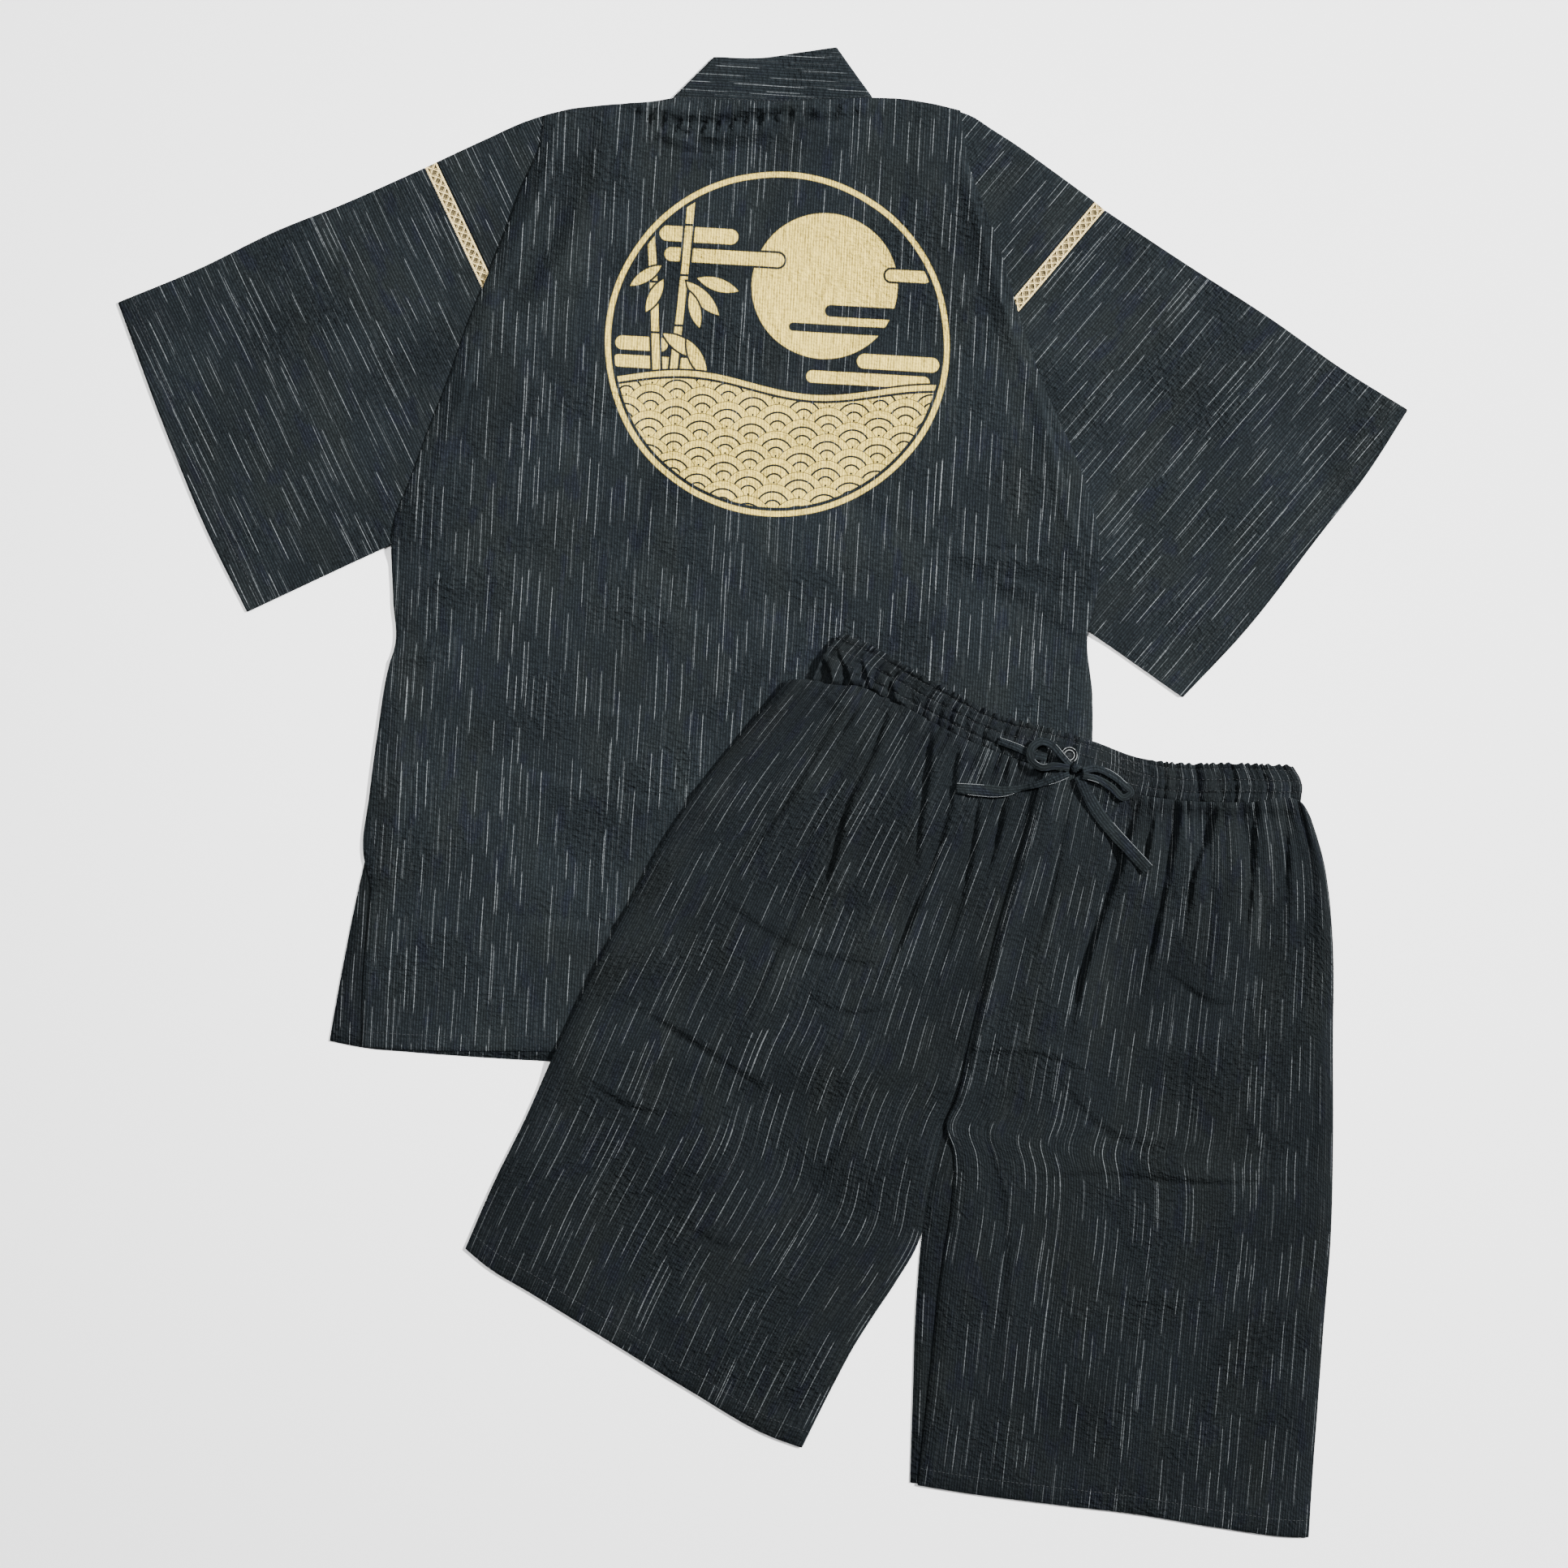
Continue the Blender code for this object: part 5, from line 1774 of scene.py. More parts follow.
    def _backs(self, ground: Ground) -> None:
        """The back panels and the back of the waistband.

        Args:
            ground: what is laid.
        """
        seam_a, seam_b = moved(BAND_LOW_A, 0, self.back_seam), moved(BAND_LOW_B, 0, self.back_seam)
        inner = [(seam_a[-1][0] - 5, seam_a[-1][1]), *moved([*FLY_LINE, CROTCH, *INNER_A, HEM_A[-1]], -5, -1)]
        outer = [(seam_a[0][0] + 2, seam_a[0][1]), *moved([*OUTER_A, HEM_A[0]], 2, 1)]
        hem = [outer[-1], *moved(HEM_A[1:-1], 0, -2), inner[-1]]
        plan = patch([outer[0], *seam_a[1:-1], inner[0]], inner, hem, outer, self.coarse)
        self._lay("shorts_back_right", plan, self.fanned(plan, self.cut_width, 3.0), ground)
        outer = [*moved([seam_b[-1], *OUTER_B], -2, 0), *moved(HEM_B[-1:], -2, -2)]
        inner = [seam_b[0], *FLY_LINE, CROTCH, *INNER_B_BACK]
        hem = [inner[-1], *moved(HEM_B[1:-1], 0, -2), outer[-1]]
        plan = patch([inner[0], *seam_b[1:-1], outer[0]], outer, hem, inner, self.coarse)
        self._lay("shorts_back_left", plan, self.fanned(plan, self.cut_width, 4.0), ground)
        low = moved([*BAND_LOW_A, *BAND_LOW_B[1:]], 0, 3.2)
        high = moved(BAND_HIGH, 0, 2)
        plan = patch(high, [high[-1], low[-1]], low, [high[0], low[0]], 2.4)
        lift = self.gathers(plan, 9.0, 5.0, 400.0, 0.8)
        self._lay("waistband_back", plan, self.fanned(plan, 2 * self.cut_width, 5.0), ground, lift=lift)
        ground.settle()

    def _fly(self, ground: Ground) -> None:
        """The overlap behind the centre front.

        Args:
            ground: what is laid.
        """
        left = [(6, 18), (-9, 75), (-34, 160), (-55, 244)]
        right = [(64, 34), (48, 90), (24, 170), (2, 246)]
        plan = patch([left[0], right[0]], right, [left[-1], right[-1]], left, 6.0)
        self._lay("fly", plan, self.fanned(plan, 0.06, 6.0), ground)
        ground.settle()

    def _waistband(self, ground: Ground) -> None:
        """The waistband's front: a ruffle over rows of stitched elastic, flat behind the button.

        Args:
            ground: what is laid.
        """
        low = [*BAND_LOW_A, *BAND_LOW_B[1:]]
        left, right = [BAND_HIGH[0], (-175, -78), low[0]], [BAND_HIGH[-1], (219, 28), low[-1]]
        plan = patch(BAND_HIGH, right, low, left, 1.25)
        s, _ = fraction_grid(plan.shape)
        across = reach_grid(plan, 1)[:1] + 0 * s
        down = reach_grid(plan, 0)
        deep = down / down[-1:] * self.band_deep
        flat = np.exp(-(((s - self.flat_at) / self.flat_reach) ** 8))
        crumple = np.exp(-((s / self.crumple_reach) ** 2))
        fine = across / self.ruffle_pitch + 0.5 * wander(across / 37.0, 1.0)
        broad = across / self.puff_pitch + 0.4 * wander(across / 61.0, 2.0) + 0.12 * np.sin(deep / 7.0)
        ridge, first, _ = self.pleats(fine, 1.0)
        ruffle = ridge * (0.4 + 0.6 * first) * np.clip(1 - deep / 12.0, 0.3, 1.0)
        swell, first, _ = self.pleats(broad, 2.0)
        puff = swell * (0.35 + 0.65 * first)
        rows = sum(np.exp(-(((deep - row) / self.elastic_breadth) ** 2)) for row in self.elastic_rows)
        body = np.clip(np.sin(math.pi * np.clip(deep / self.band_deep, 0, 1)), 0, 1) ** 0.5
        lift = self.ruffle * (0.55 * ruffle + 0.7 * puff) * (1 - 0.3 * np.clip(rows, 0, 1))
        lift = lift * (1 - 0.86 * flat) * (1 + 0.4 * np.clip((0.44 - s) / 0.08, 0, 1)) + 1.3 * body
        lift = lift + 1.6 * crumple * puff
        lift = lift - 0.3 * np.clip(rows, 0, 1) * (1 - flat)
        wave = 0.9 * np.cos(2 * math.pi * fine + 0.6) * (1 - flat) * np.clip(1 - deep / 6.0, 0.0, 1.0)
        plan = plan + np.dstack([0.4 * wave, -wave])
        half = np.interp(s, [0, 0.49, 1.0], [0, self.cut_width, 2 * self.cut_width])
        lean = (deep - self.band_deep) * METRE
        lift = lift + creased(plan, self.band_creases) * edge_fade(plan, 2.5)
        self._lay("waistband_front", plan, np.dstack([half, lean]), ground, lift=lift)

    def _fronts(self, ground: Ground) -> None:
        """The front panels; the wearer's left one laps over the right one at the fly.

        Args:
            ground: what is laid.
        """
        seam = moved(BAND_LOW_A[:-1], 0, self.front_seam)
        inner = [*LAP, CROTCH, *INNER_A, HEM_A[-1]]
        plan = patch([OUTER_A[0], *seam, LAP[0]], inner, HEM_A, [*OUTER_A, HEM_A[0]], self.fine)
        lift = self._relief(plan, self.right_creases, 12.6, 0.4, 105.0)
        self._lay("shorts_front_right", plan, self.fanned(plan, self.cut_width, 0.0), ground, lift=lift)
        ground.settle()
        seam = moved(BAND_LOW_B, 0, self.front_seam)
        inner = [seam[0], *FLY_LINE, CROTCH, *INNER_B, HEM_B[0]]
        plan = patch([*seam, OUTER_B[0]], [*OUTER_B, HEM_B[-1]], HEM_B, inner, self.fine)
        lift = self._relief(plan, self.left_creases, 12.9, 2.3, 115.0, 0.12, 0.32)
        cloth = self.fanned(plan, self.cut_width, self.cut_width)
        self._lay("shorts_front_left", plan, cloth, ground, lift=lift)
        ground.settle()

    def _relief(
        self, plan: Grid, creases: Sequence[Crease], pitch: float, seed: float, run: float,
        flat_from: float = 2.0, flat_to: float = 2.0,
    ) -> Grid:
        """A front panel's rise: its loft, listed creases and the waist's gathers.

        Args:
            plan: the panel's points.
            creases: its listed creases.
            pitch: about how far apart its narrow gathers are.
            seed: tells its unevenness from another panel's.
            run: how far its narrow gathers reach down.
            flat_from: the share of its top edge from which it is smooth.
            flat_to: the share up to which it is smooth.

        Returns:
            A rise for each point.
        """
        s, _ = fraction_grid(plan.shape)
        ramp = 0.06
        smooth = 1 - np.clip((s - flat_from + ramp) / ramp, 0, 1) * np.clip((flat_to + ramp - s) / ramp, 0, 1)
        gather = self.gathers(plan, pitch, seed, run, self.gather_rise)
        gather = gather + self.gathers(plan, pitch * self.broad_pitch, seed + 5, run * 2.2, self.broad_rise)
        loft = (self.loft + 0.6 * swells(plan, seed, 75.0)) * edge_fade(plan, 10.0)
        folds = self.crease_gain * creased(plan, creases) * edge_fade(plan, 5.0)
        return loft + folds + gather * (0.1 + 0.9 * smooth)

    def dress(self) -> None:
        """Makes the meshes and puts each on the set in place of its solid."""
        plain = self.cloth.material()
        inner = self.inner_cloth.material()
        cuts: dict[str, tuple[Any, Pair, Optional[float]]] = {
            "shorts_back_right": (inner, (0.36, 0.56), 0.18),
            "shorts_back_left": (inner, (0.36, 0.60), 0.19),
            "waistband_back": (inner, (0.42, 0.034), None),
            "fly": (inner, (0.06, 0.22), None),
            "waistband_front": (plain, (0.46, 0.034), None),
            "shorts_front_right": (plain, (0.36, 0.56), 0.18),
            "shorts_front_left": (plain, (0.36, 0.60), 0.19),
        }
        for name, (finish, flat, area) in cuts.items():
            put(self.made[name].make(finish), [name], flat)


# ---- braid


@dataclass
class Braid:
    """Cream braid let into an armhole: two corded edges with a lattice between them."""

    cut: SleeveCut
    yarn: BraidYarn
    tape: BraidYarn
    width: float = 10.6
    gap: float = 0.3
    repeat: float = 14.5
    cord: float = 1.8
    cord_height: float = 1.25
    strand: float = 1.15
    strand_height: float = 0.7
    strands: tuple[Pair, ...] = ((0.0, 1.0), (0.5, 1.0), (0.12, 0.38), (0.62, 0.38))
    sides: int = 6
    step: float = 1.1
    tape_wall: float = 0.8
    tape_lift: float = 0.15
    flat_width: float = 0.0108

    def build(self, ground: Ground) -> None:
        """Lays the tape's flat ring, then its cords and lattice on the upper side.

        Args:
            ground: what is laid.
        """
        near = ahead(self.cut.braid_top, self.cut.outward, self.gap)
        far = ahead(near, self.cut.outward, self.width)
        half = self.cut.half_round
        near_low, far_low = ahead(near, self.cut.run, half), ahead(far, self.cut.run, half)
        plan = patch([far, near], [near, near_low], [far_low, near_low], [far, far_low], self.width / 4)
        self.ring = FlatTube(
            "braid_" + self.cut.side.word, JACKET, plan, near, self.cut.run, self.cut.outward,
            wall=self.tape_wall, grow=0.0,
        )
        self.sheet = self.ring.lay(ground, np.full(plan.shape[:2], self.tape_lift))
        self.near, self.half = near, half

    def _strand(self, aside: Along, rise: Along, width: float, height: float) -> tuple[Grid, Grid, list]:
        """One yarn laid along the braid.

        Args:
            aside: how far from the near edge it lies at each distance along the braid.
            rise: how high it lies over the tape.
            width: its width.
            height: its height.

        Returns:
            Its points, their cloth coordinates and its faces.
        """
        at = np.arange(0.0, self.half, self.step)
        off = aside(at)
        middle = np.array(self.near) + off[:, None] * np.array(self.cut.outward)
        floor = JACKET.place(middle + at[:, None] * np.array(self.cut.run))
        s = 1 - off / self.width
        base = self.sheet.spot(np.clip(s, 0, 1), at / self.half)[:, 2]
        run = unit(np.gradient(floor, axis=0))
        side = np.column_stack([-run[:, 1], run[:, 0]])
        rings, cloth = [], []
        for k in range(self.sides):
            turn = (2 * k + 1) * math.pi / self.sides
            spot = floor + side * math.cos(turn) * width / 2
            z = base + rise(at) + height * (0.5 + 0.5 * math.sin(turn))
            rings.append(np.column_stack([spot, z]))
            cloth.append(np.column_stack([at * 0 + k * 0.0007, at * METRE]))
        points = np.stack(rings, 1)
        number = np.arange(points.shape[0] * self.sides).reshape(-1, self.sides)
        faces = [tuple(f) for r in range(len(number) - 1) for f in quads(number[r], number[r + 1], True)]
        faces += [tuple(number[0][::-1]), tuple(number[-1])]
        return points.reshape(-1, 3), np.stack(cloth, 1).reshape(-1, 2), faces

    def dress(self) -> None:
        """Makes the tape and the yarns."""
        piece = self.ring.make(self.tape.material())
        put(piece, [self.ring.name], (self.flat_width, 2 * self.half * METRE))
        low, high = self.cord / 2, self.width - self.cord / 2
        span = high - low - 1.4

        def level(distance: float) -> Along:
            """The same distance all along the braid."""
            return lambda at: at * 0 + distance

        def weave(phase: float) -> Along:
            """A yarn's sidesteps: straight runs from edge to edge.

            Args:
                phase: where it starts, in repeats.

            Returns:
                Its distance from the near edge.
            """
            def aside(at: Grid) -> Grid:
                """Distance from the near edge."""
                turn = np.abs(((at / self.repeat + phase) % 1.0) * 2 - 1)
                return low + 0.7 + span * (0.85 * turn + 0.075 - 0.075 * np.cos(math.pi * turn))
            return aside

        def cross(number: int) -> Along:
            """A yarn's rise, where it passes over and under the others."""
            return lambda at: 0.15 + 0.22 * (1 + np.sin(4 * math.pi * at / self.repeat + 1.6 * number))

        parts = [self._strand(level(edge), level(0.0), self.cord, self.cord_height) for edge in (low, high)]
        for number, (phase, share) in enumerate(self.strands):
            parts.append(self._strand(weave(phase), cross(number), self.strand * share, self.strand_height))
        points, cloth, faces, total = [], [], [], 0
        for spots, uv, sides in parts:
            points.append(spots)
            cloth.append(uv)
            faces += [tuple(k + total for k in f) for f in sides]
            total += len(spots)
        name = "braid_yarns_" + self.cut.side.word
        yarns = mesh_object(name, np.concatenate(points), faces, np.concatenate(cloth), self.yarn.material())
        put(yarns)


# ---- drawstring and button


@dataclass(frozen=True)
class Ribbon:
    """One stretch of the drawstring: its node, its route in the shorts' plan and how it lies."""

    node: str
    route: tuple[Pair, ...]
    widths: tuple[float, ...]
    far_end: FarEnd
    rises: tuple[float, ...] = (0.0, 0.0)
    light_edges: tuple[tuple[Side, float, float], ...] = ()


RIBBONS = (
    Ribbon(
        "drawstring_lead", ((-31, -8), (-15, -2), (-4, 3), (8, 6)), (5.4, 6.0), FarEnd.KNOT, (0.0, 0.4, 0.3),
        ((Side.LEFT, 0.0, 0.8),),
    ),
    Ribbon(
        "drawstring_end_right", ((26, 19), (16, 23), (4, 27), (-12, 31), (-26, 34), (-46, 33), (-66, 31)),
        (6.0, 6.6, 4.4, 3.6, 7.4, 9.4, 9.0, 7.6), FarEnd.FREE, (0.6, 0.3, 0.7, 0.5, 0.1),
        ((Side.RIGHT, 0.76, 1.0), (Side.LEFT, 0.5, 0.9), (Side.LEFT, 0.02, 0.2)),
    ),
    Ribbon(
        "drawstring_end_left", ((34, 22), (43, 39), (54, 56), (66, 70), (78, 83), (92, 98)),
        (6.4, 9.4, 9.8, 9.6, 9.4), FarEnd.FREE, (0.6, 0.3, 0.6, 0.1), ((Side.LEFT, 0.5, 1.0),),
    ),
    Ribbon(
        "drawstring_loop_right",
        ((27, 12), (19, 3), (11, -5), (3, -7), (-4, -2), (-5, 7), (3, 14), (14, 13), (26, 15)),
        (4.4, 5.4, 5.4, 6.0, 5.0, 5.2, 4.4), FarEnd.KNOT, (0.2, 0.9, 1.2, 0.8, 0.3),
        ((Side.RIGHT, 0.02, 0.24), (Side.LEFT, 0.62, 0.8)),
    ),
    Ribbon(
        "drawstring_loop_left",
        ((38, 17), (48, 15), (60, 19), (71, 27), (78, 35), (72, 39), (62, 31), (50, 24), (38, 21)),
        (4.4, 5.4, 4.2, 5.4, 4.4), FarEnd.KNOT, (0.2, 0.9, 1.2, 0.8, 0.3),
        ((Side.LEFT, 0.2, 0.44), (Side.LEFT, 0.84, 0.97)),
    ),
)


@dataclass
class Drawstring:
    """The drawstring, tied in a bow over the button."""

    cloth: StreakedCloth
    edge_thread: Thread
    wall: float = 1.0
    step: float = 1.1
    columns: int = 7
    arch: float = 0.35
    twist: float = 0.25
    under_loops: int = 3
    knot_at: Pair = (32, 15)
    knot_size: Place = (9.4, 8.2, 4.6)
    knot_around: int = 28
    knot_levels: int = 12
    laid: list[tuple[Ribbon, Grid, Grid, Grid]] = field(default_factory=list)

    def build(self, ground: Ground) -> None:
        """Lays the ends first, then the loops over them and the knot on top.

        Args:
            ground: what is laid.
        """
        for number, ribbon in enumerate(RIBBONS):
            if number == self.under_loops:
                ground.settle()
            self._lay(ribbon, ground)
        ground.settle()
        where = SHORTS.place(np.array([[self.knot_at]], float))[0, 0]
        spots = where + np.array([[0, 0], [2, 0], [-2, 0], [0, 2], [0, -2]], float)
        self.knot_base = float(ground.read(ground.height, spots).max())
        self.knot_place = where

    def _lay(self, ribbon: Ribbon, ground: Ground) -> None:
        """Works out where one ribbon's middle line and edges lie.

        Args:
            ribbon: the ribbon.
            ground: what is laid.
        """
        steps = max(24, int(length_of(ribbon.route) / self.step))
        at = np.linspace(0.0, 1.0, steps)
        middle = curve(ribbon.route, at)
        floor = SHORTS.place(middle)
        run = unit(np.gradient(floor, axis=0))
        side = np.column_stack([-run[:, 1], run[:, 0]])
        width = np.interp(at, np.linspace(0, 1, len(ribbon.widths)), ribbon.widths)
        rise = np.interp(at, np.linspace(0, 1, len(ribbon.rises)), ribbon.rises)
        across = np.linspace(-0.5, 0.5, self.columns)
        grid = floor[:, None] + side[:, None] * (across[None, :, None] * width[:, None, None])
        under = ground.rest(grid, 2)
        under = np.maximum(under, under.mean(axis=1)[:, None] - 0.2) + rise[:, None]
        arch = self.arch * np.cos(across * math.pi)[None]
        arch = arch + self.twist * np.sin(at * 23.0)[:, None] * across[None] * 2
        top = under + self.wall + np.maximum(arch, -0.2)
        ground.note(grid, top)
        self.laid.append((ribbon, grid, under, top))

    def dress(self) -> None:
        """Makes the ribbons, their edge threads and the knot."""
        material = self.cloth.material()
        edges = Stitching("drawstring_edge_thread", self.edge_thread, pitch=1.5, reach=1.7, thick=0.36)
        for ribbon, grid, under, top in self.laid:
            along = reach_grid(grid, 0) * METRE
            across = reach_grid(grid, 1) * METRE
            sheet = Sheet(ribbon.node, grid, under, top, np.dstack([across + 7.0, along]))
            piece = put(sheet.make(material), [ribbon.node])
            for side, start, end in ribbon.light_edges:
                column = -1 if side is Side.LEFT else 0
                stretch = slice(int(start * len(grid)), max(2, int(end * len(grid))))
                edges.follow(np.column_stack([grid[stretch, column], top[stretch, column] - 0.1]))
        put(edges.build())
        self._knot(material)

    def _knot(self, material: bpy.types.Material) -> None:
        """The knot: a plump turn of ribbon with soft grooves.

        Args:
            material: its finish.
        """
        around, levels = self.knot_around, self.knot_levels
        points, cloth = [], []
        for level in range(levels + 1):
            tilt = math.pi * level / levels
            for k in range(around):
                turn = 2 * math.pi * k / around
                groove = 1 - 0.10 * abs(math.sin(turn * 1.5 + 0.4)) - 0.05 * math.sin(turn * 4 + tilt * 3)
                x = math.sin(tilt) * math.cos(turn) * groove * self.knot_size[0] / 2
                y = math.sin(tilt) * math.sin(turn) * groove * self.knot_size[1] / 2
                z = (0.5 - 0.5 * math.cos(tilt)) * self.knot_size[2] * (0.92 + 0.08 * groove)
                points.append((self.knot_place[0] + x, self.knot_place[1] + y, self.knot_base + z))
                cloth.append((7.3 + turn * 0.004, tilt * 0.004))
        number = np.arange(len(points)).reshape(levels + 1, around)
        rows = [quads(number[r], number[r + 1], True)[:, ::-1] for r in range(1, levels - 1)]
        faces = [tuple(f) for row in rows for f in row]
        faces += [tuple(number[1]), tuple(number[-2][::-1])]
        used = sorted({k for f in faces for k in f})
        place = {old: new for new, old in enumerate(used)}
        faces = [tuple(place[k] for k in f) for f in faces]
        points, cloth = np.array(points)[used], np.array(cloth)[used]
        piece = mesh_object("drawstring_knot_ribbon", points, faces, cloth, material)
        put(piece, ["drawstring_knot"])


@dataclass
class Button:
    """The fly's button, with turned rings and four holes sewn through."""

    finish: ButtonResin
    thread: Thread
    at: Pair = (27, 4)
    diameter: float = 14.0
    height: float = 2.6
    sides: int = 48
    foot_share: float = 0.42
    bed_share: float = 0.7
    sewn_at: float = 0.48
    hole: Pair = (1.5, 0.9)
    section: tuple[Pair, ...] = (
        (0.0, 0.0), (0.80, 0.0), (0.95, 0.15), (1.0, 0.45), (0.985, 0.80), (0.94, 1.0), (0.88, 1.0),
        (0.81, 0.84), (0.75, 0.62), (0.68, 0.60), (0.62, 0.80), (0.56, 0.84), (0.49, 0.66), (0.42, 0.50),
        (0.2, 0.46), (0.0, 0.46),
    )

    def build(self, ground: Ground) -> None:
        """Seats the button on the waistband.

        Args:
            ground: what is laid.
        """
        where = SHORTS.place(np.array([[self.at]], float))[0, 0]
        turn = np.linspace(0, 2 * math.pi, 24)
        spots = where + np.column_stack([np.cos(turn), np.sin(turn)]) * self.diameter * self.foot_share
        self.place = where
        self.base = float(ground.read(ground.height, spots).max()) + 0.1
        reach = self.diameter / 2 * self.bed_share
        square = np.array([[[-1, 1], [1, 1]], [[-1, -1], [1, -1]]], float) * reach
        ground.note(where + square, np.full((2, 2), self.base + self.height))

    def dress(self) -> None:
        """Makes the button and its sewing."""
        points = [(*self.place, self.base), (*self.place, self.base + self.height * self.section[-1][1])]
        cloth = [(0.0, 0.0), (0.0, 0.0)]
        rings = []
        for radius, rise in self.section[1:-1]:
            ring = []
            for k in range(self.sides):
                turn = 2 * math.pi * k / self.sides
                x = self.place[0] + math.cos(turn) * radius * self.diameter / 2
                y = self.place[1] + math.sin(turn) * radius * self.diameter / 2
                ring.append(len(points))
                points.append((x, y, self.base + rise * self.height))
                cloth.append((radius, rise))
            rings.append(np.array(ring))
        faces = [tuple(f) for a, b in zip(rings, rings[1:]) for f in quads(a, b, True)[:, ::-1]]
        faces += [(0, *[int(k) for k in pair[::-1]]) for pair in zip(rings[0], np.roll(rings[0], -1))]
        faces += [(1, *[int(k) for k in pair]) for pair in zip(rings[-1], np.roll(rings[-1], -1))]
        material = self.finish.material()
        piece = mesh_object("button_resin_body", np.array(points), faces, np.array(cloth), material, 35.0)
        put(piece, ["button"])
        sewing = Stitching("button_sewing", self.thread, pitch=3.0, reach=3.0, thick=0.5)
        top = self.base + self.height * self.sewn_at
        for y in (self.place[1] - self.hole[1], self.place[1] + self.hole[1]):
            ends = (self.place[0] - self.hole[0], self.place[0] + self.hole[0])
            sewing.follow(np.array([[x, y, top] for x in ends]))
        put(sewing.build())


# ---- stage


class LampKind(Enum):
    """The kinds of lamp that the studio has."""

    AREA = "AREA"
    SPOT = "SPOT"


@dataclass(frozen=True)
class Lamp:
    """A soft lamp: where it stands and aims in metres, its watts, and its own settings."""

    name: str
    kind: LampKind
    place: Place
    aim: Place
    power: float
    settings: tuple[tuple[str, float], ...]

    def build(self) -> None:
        """Sets the lamp up, turned to its aim."""
        data = bpy.data.lights.new(self.name, self.kind.value)
        data.energy = self.power
        for setting, value in self.settings:
            setattr(data, setting, value)
        light = bpy.data.objects.new(self.name, data)
        light.location = self.place
        light.rotation_euler = (Vector(self.aim) - Vector(self.place)).to_track_quat("-Z", "Y").to_euler()
        bpy.context.scene.collection.objects.link(light)


LAMPS = (
    Lamp("key_light", LampKind.AREA, (6.3, 2.6, 5.2), (0.0, 0.0, 0.0), 3400.0, (("size", 0.8),)),
    Lamp("fill_light", LampKind.AREA, (-0.8, 1.6, 2.0), (0.0, 0.0, 0.0), 26.0, (("size", 1.0),)),
    Lamp(
        "top_light", LampKind.SPOT, (-0.75, 0.95, 3.7), (-0.04, 0.07, 0.0), 1350.0,
        (("spot_size", math.radians(21.0)), ("spot_blend", 1.0), ("shadow_soft_size", 0.7)),
    ),
)


@dataclass
class Studio:
    """The pale floor, the soft lights and the camera straight above, in metres."""

    finish: PaleFloor
    centre: Pair = (0.018, 0.007)
    height: float = 3.056
    lens: float = 85.0
    sensor: float = 36.0
    sky: float = 0.16
    floor_size: float = 14.0
    floor_drop: float = 0.0004

    def build(self) -> None:
        """Sets up floor, lights, world and camera."""
        half = self.floor_size / METRE / 2
        drop = -self.floor_drop / METRE
        corners = np.array([(x * half, y * half, drop) for x, y in ((-1, -1), (1, -1), (1, 1), (-1, 1))])
        mesh_object("floor", corners, [(0, 1, 2, 3)], None, self.finish.material())
        for lamp in LAMPS:
            lamp.build()
        world = bpy.data.worlds.new("studio_world")
        world.use_nodes = True
        sky = world.node_tree.nodes["Background"]
        sky.inputs["Color"].default_value = (1.0, 1.0, 1.0, 1.0)
        sky.inputs["Strength"].default_value = self.sky
        bpy.context.scene.world = world
        camera = bpy.data.objects.new("camera", bpy.data.cameras.new("camera"))
        camera.data.lens = self.lens
        camera.data.sensor_width = self.sensor
        camera.location = (*self.centre, self.height)
        bpy.context.scene.collection.objects.link(camera)
        bpy.context.scene.camera = camera


# ---- making


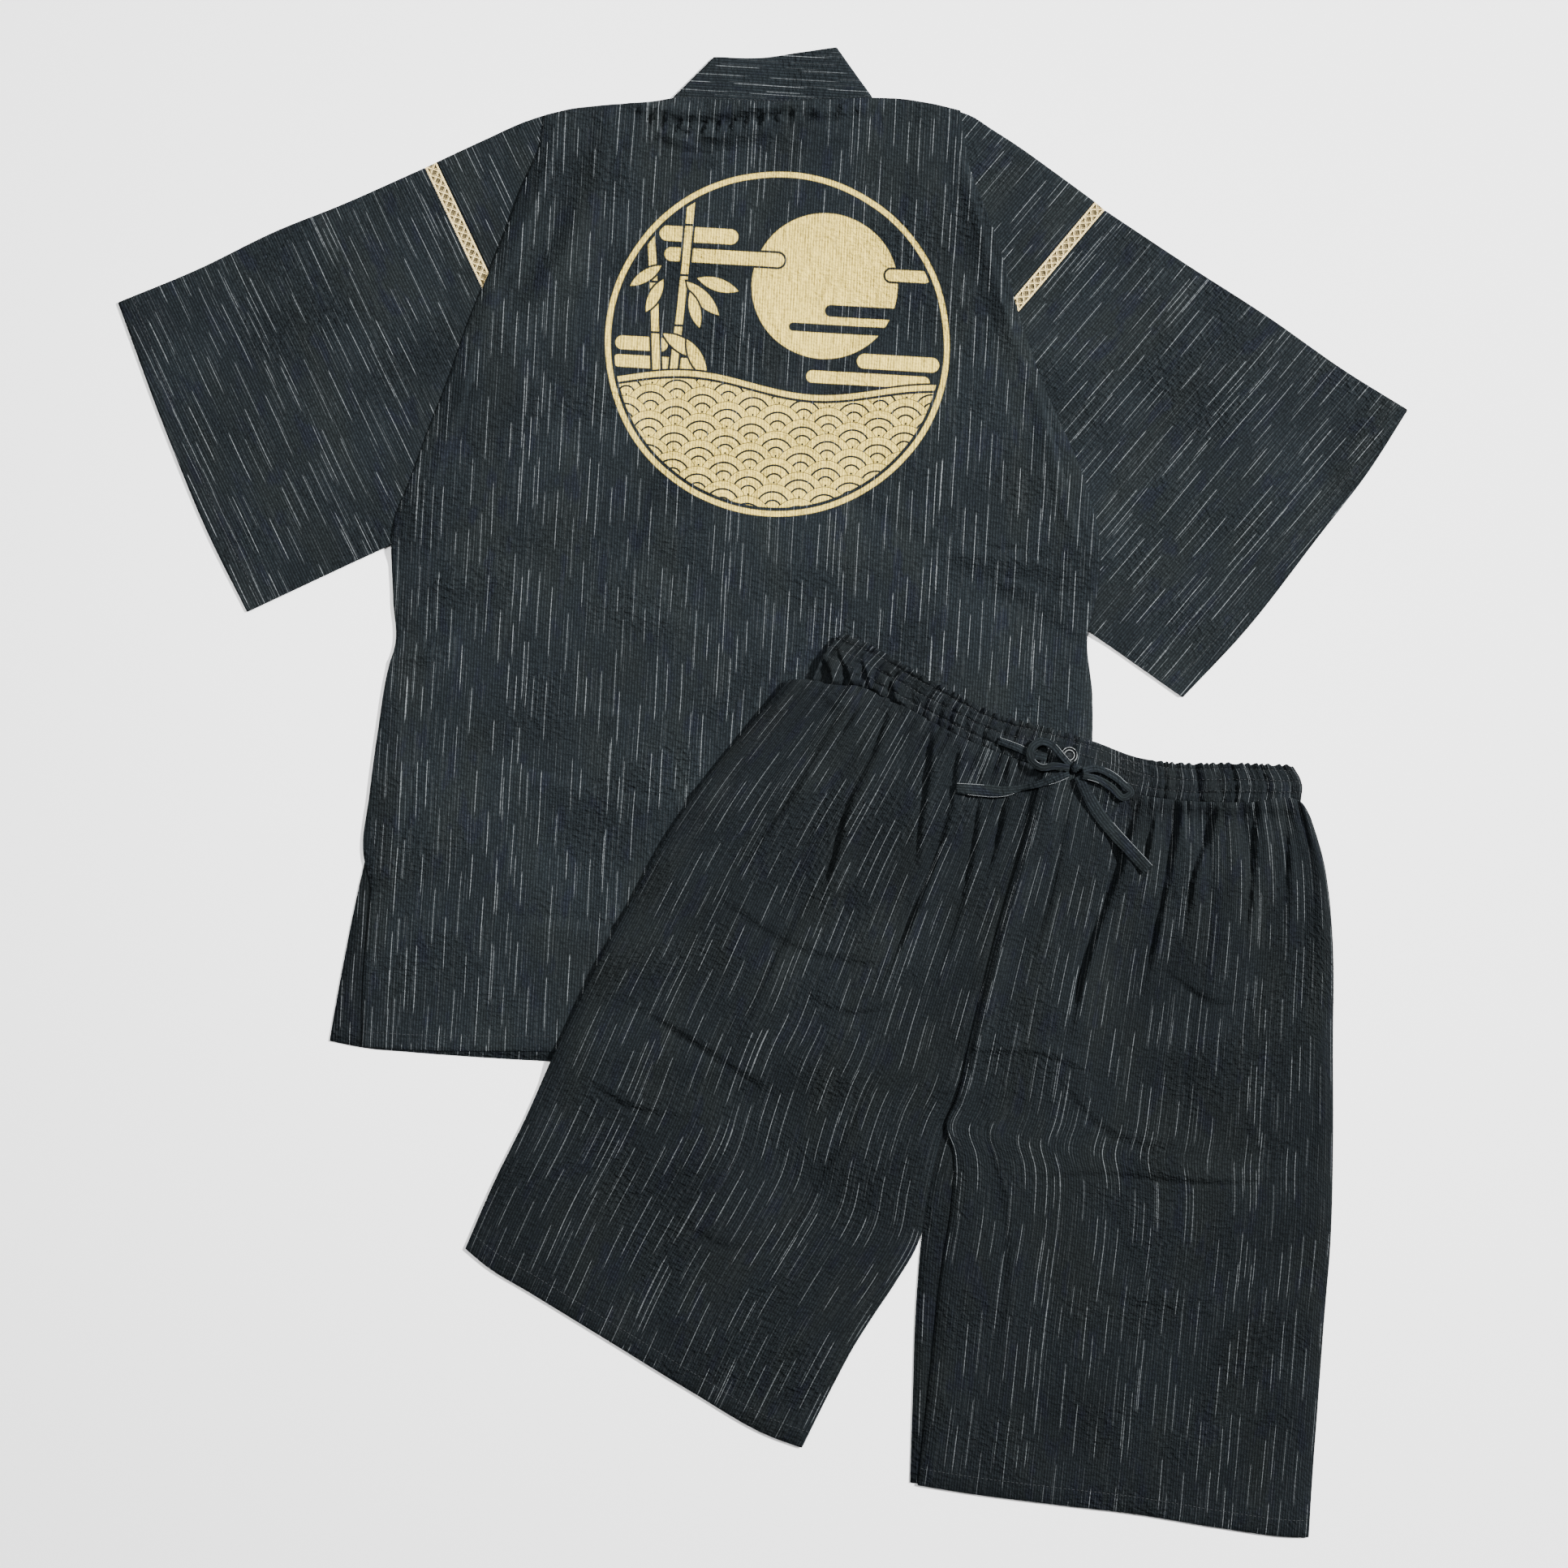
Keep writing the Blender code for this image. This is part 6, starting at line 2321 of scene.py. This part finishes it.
@dataclass(frozen=True)
class Sewing:
    """The stitch rows on the laid cloth, in millimetres from an edge.

    The boxes' corners are shares across and down the waistband.
    """

    thread: Thread
    hem: float = 12.0
    cuff: float = 12.0
    neck: float = 1.6
    leg_hem: float = 14.0
    fly: float = 3.0
    fly_end: float = 0.36
    boxes: tuple[tuple[Pair, ...], ...] = (
        ((0.535, 0.03), (0.595, 0.03), (0.595, 0.22), (0.535, 0.22)),
        ((0.638, 0.18), (0.676, 0.18), (0.676, 0.78), (0.638, 0.78)),
    )

    def on_jacket(self, jacket: Jacket) -> None:
        """Hem, cuff and collar stitches.

        Args:
            jacket: the laid jacket.
        """
        seams = Stitching("jacket_stitching", self.thread)
        seams.follow(jacket.made["jacket_back"].parallel(Edge.BOTTOM, self.hem))
        for name in ("sleeve_left", "sleeve_right"):
            seams.follow(jacket.made[name].parallel(Edge.RIGHT, self.cuff))
        seams.follow(jacket.made["collar_back"].parallel(Edge.BOTTOM, self.neck))
        put(seams.build())

    def on_shorts(self, shorts: Shorts) -> None:
        """Hem, fly and elastic stitches, and the tab and box sewn on the waistband.

        Args:
            shorts: the laid shorts.
        """
        seams = Stitching("shorts_stitching", self.thread)
        for name in ("shorts_front_right", "shorts_front_left"):
            seams.follow(shorts.made[name].parallel(Edge.BOTTOM, self.leg_hem))
        seams.follow(shorts.made["shorts_front_left"].parallel(Edge.LEFT, self.fly, 0.0, self.fly_end))
        band = shorts.made["waistband_front"]
        for row in shorts.elastic_rows:
            seams.follow(band.parallel(Edge.TOP, row))
        at = np.linspace(0.0, 4.0, 45)
        for corners in self.boxes:
            turns = [np.interp(at, range(5), [*[c[k] for c in corners], corners[0][k]]) for k in (0, 1)]
            seams.follow(band.spot(*turns))
        put(seams.build())


def main() -> None:
    """Builds the set piece by piece and reports each."""
    logging.basicConfig(level=logging.INFO, format="%(message)s")
    Studio(PaleFloor()).build()
    ground = Ground()
    # Painted shade: the lower layers get darker copies of the cloth, standing in for the shade under the
    # upper layers.
    inner = StreakedCloth("inner_cloth", painted_shade=0.72)
    jacket = Jacket(StreakedCloth(), inner, StreakedCloth("printed_cloth", printed=True))
    # Painted shade: the shorts' cloth and its lower layers are darker still, standing in for the shade under
    # them and the light falling off towards the lower right.
    inner = StreakedCloth("shorts_inner_cloth", painted_shade=0.62)
    shorts = Shorts(StreakedCloth("shorts_cloth", painted_shade=0.68), inner)
    # Painted shade: the tape under the lattice is dark brown, standing in for the shade in the braid's open
    # gaps.
    tape = BraidYarn("braid_tape", hollow=(0.16, 0.10, 0.04), painted_shade_dim=0.13)
    braids = [Braid(cut, BraidYarn(), tape) for cut in SLEEVE_CUTS]
    for braid in braids:
        braid.build(ground)
    # The braids lie on the bare floor beside the cloth, and no cloth is laid over them.
    ground.waiting = []
    jacket.build(ground)
    shorts.build(ground)
    button = Button(ButtonResin(), Thread("button_thread", (0.02, 0.023, 0.026)))
    button.build(ground)
    # Painted shade: the ribbons' cloth is a little darkened.
    string = Drawstring(
        StreakedCloth("ribbon_cloth", painted_shade=0.9, dashed=False), Thread("edge_thread", (0.17, 0.18, 0.185)),
    )
    string.build(ground)
    for part in (jacket, shorts, *braids, button, string):
        part.dress()
    sewing = Sewing(Thread("dark_thread", (0.012, 0.014, 0.016)))
    sewing.on_jacket(jacket)
    sewing.on_shorts(shorts)


if __name__ == "__main__":
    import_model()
    main()
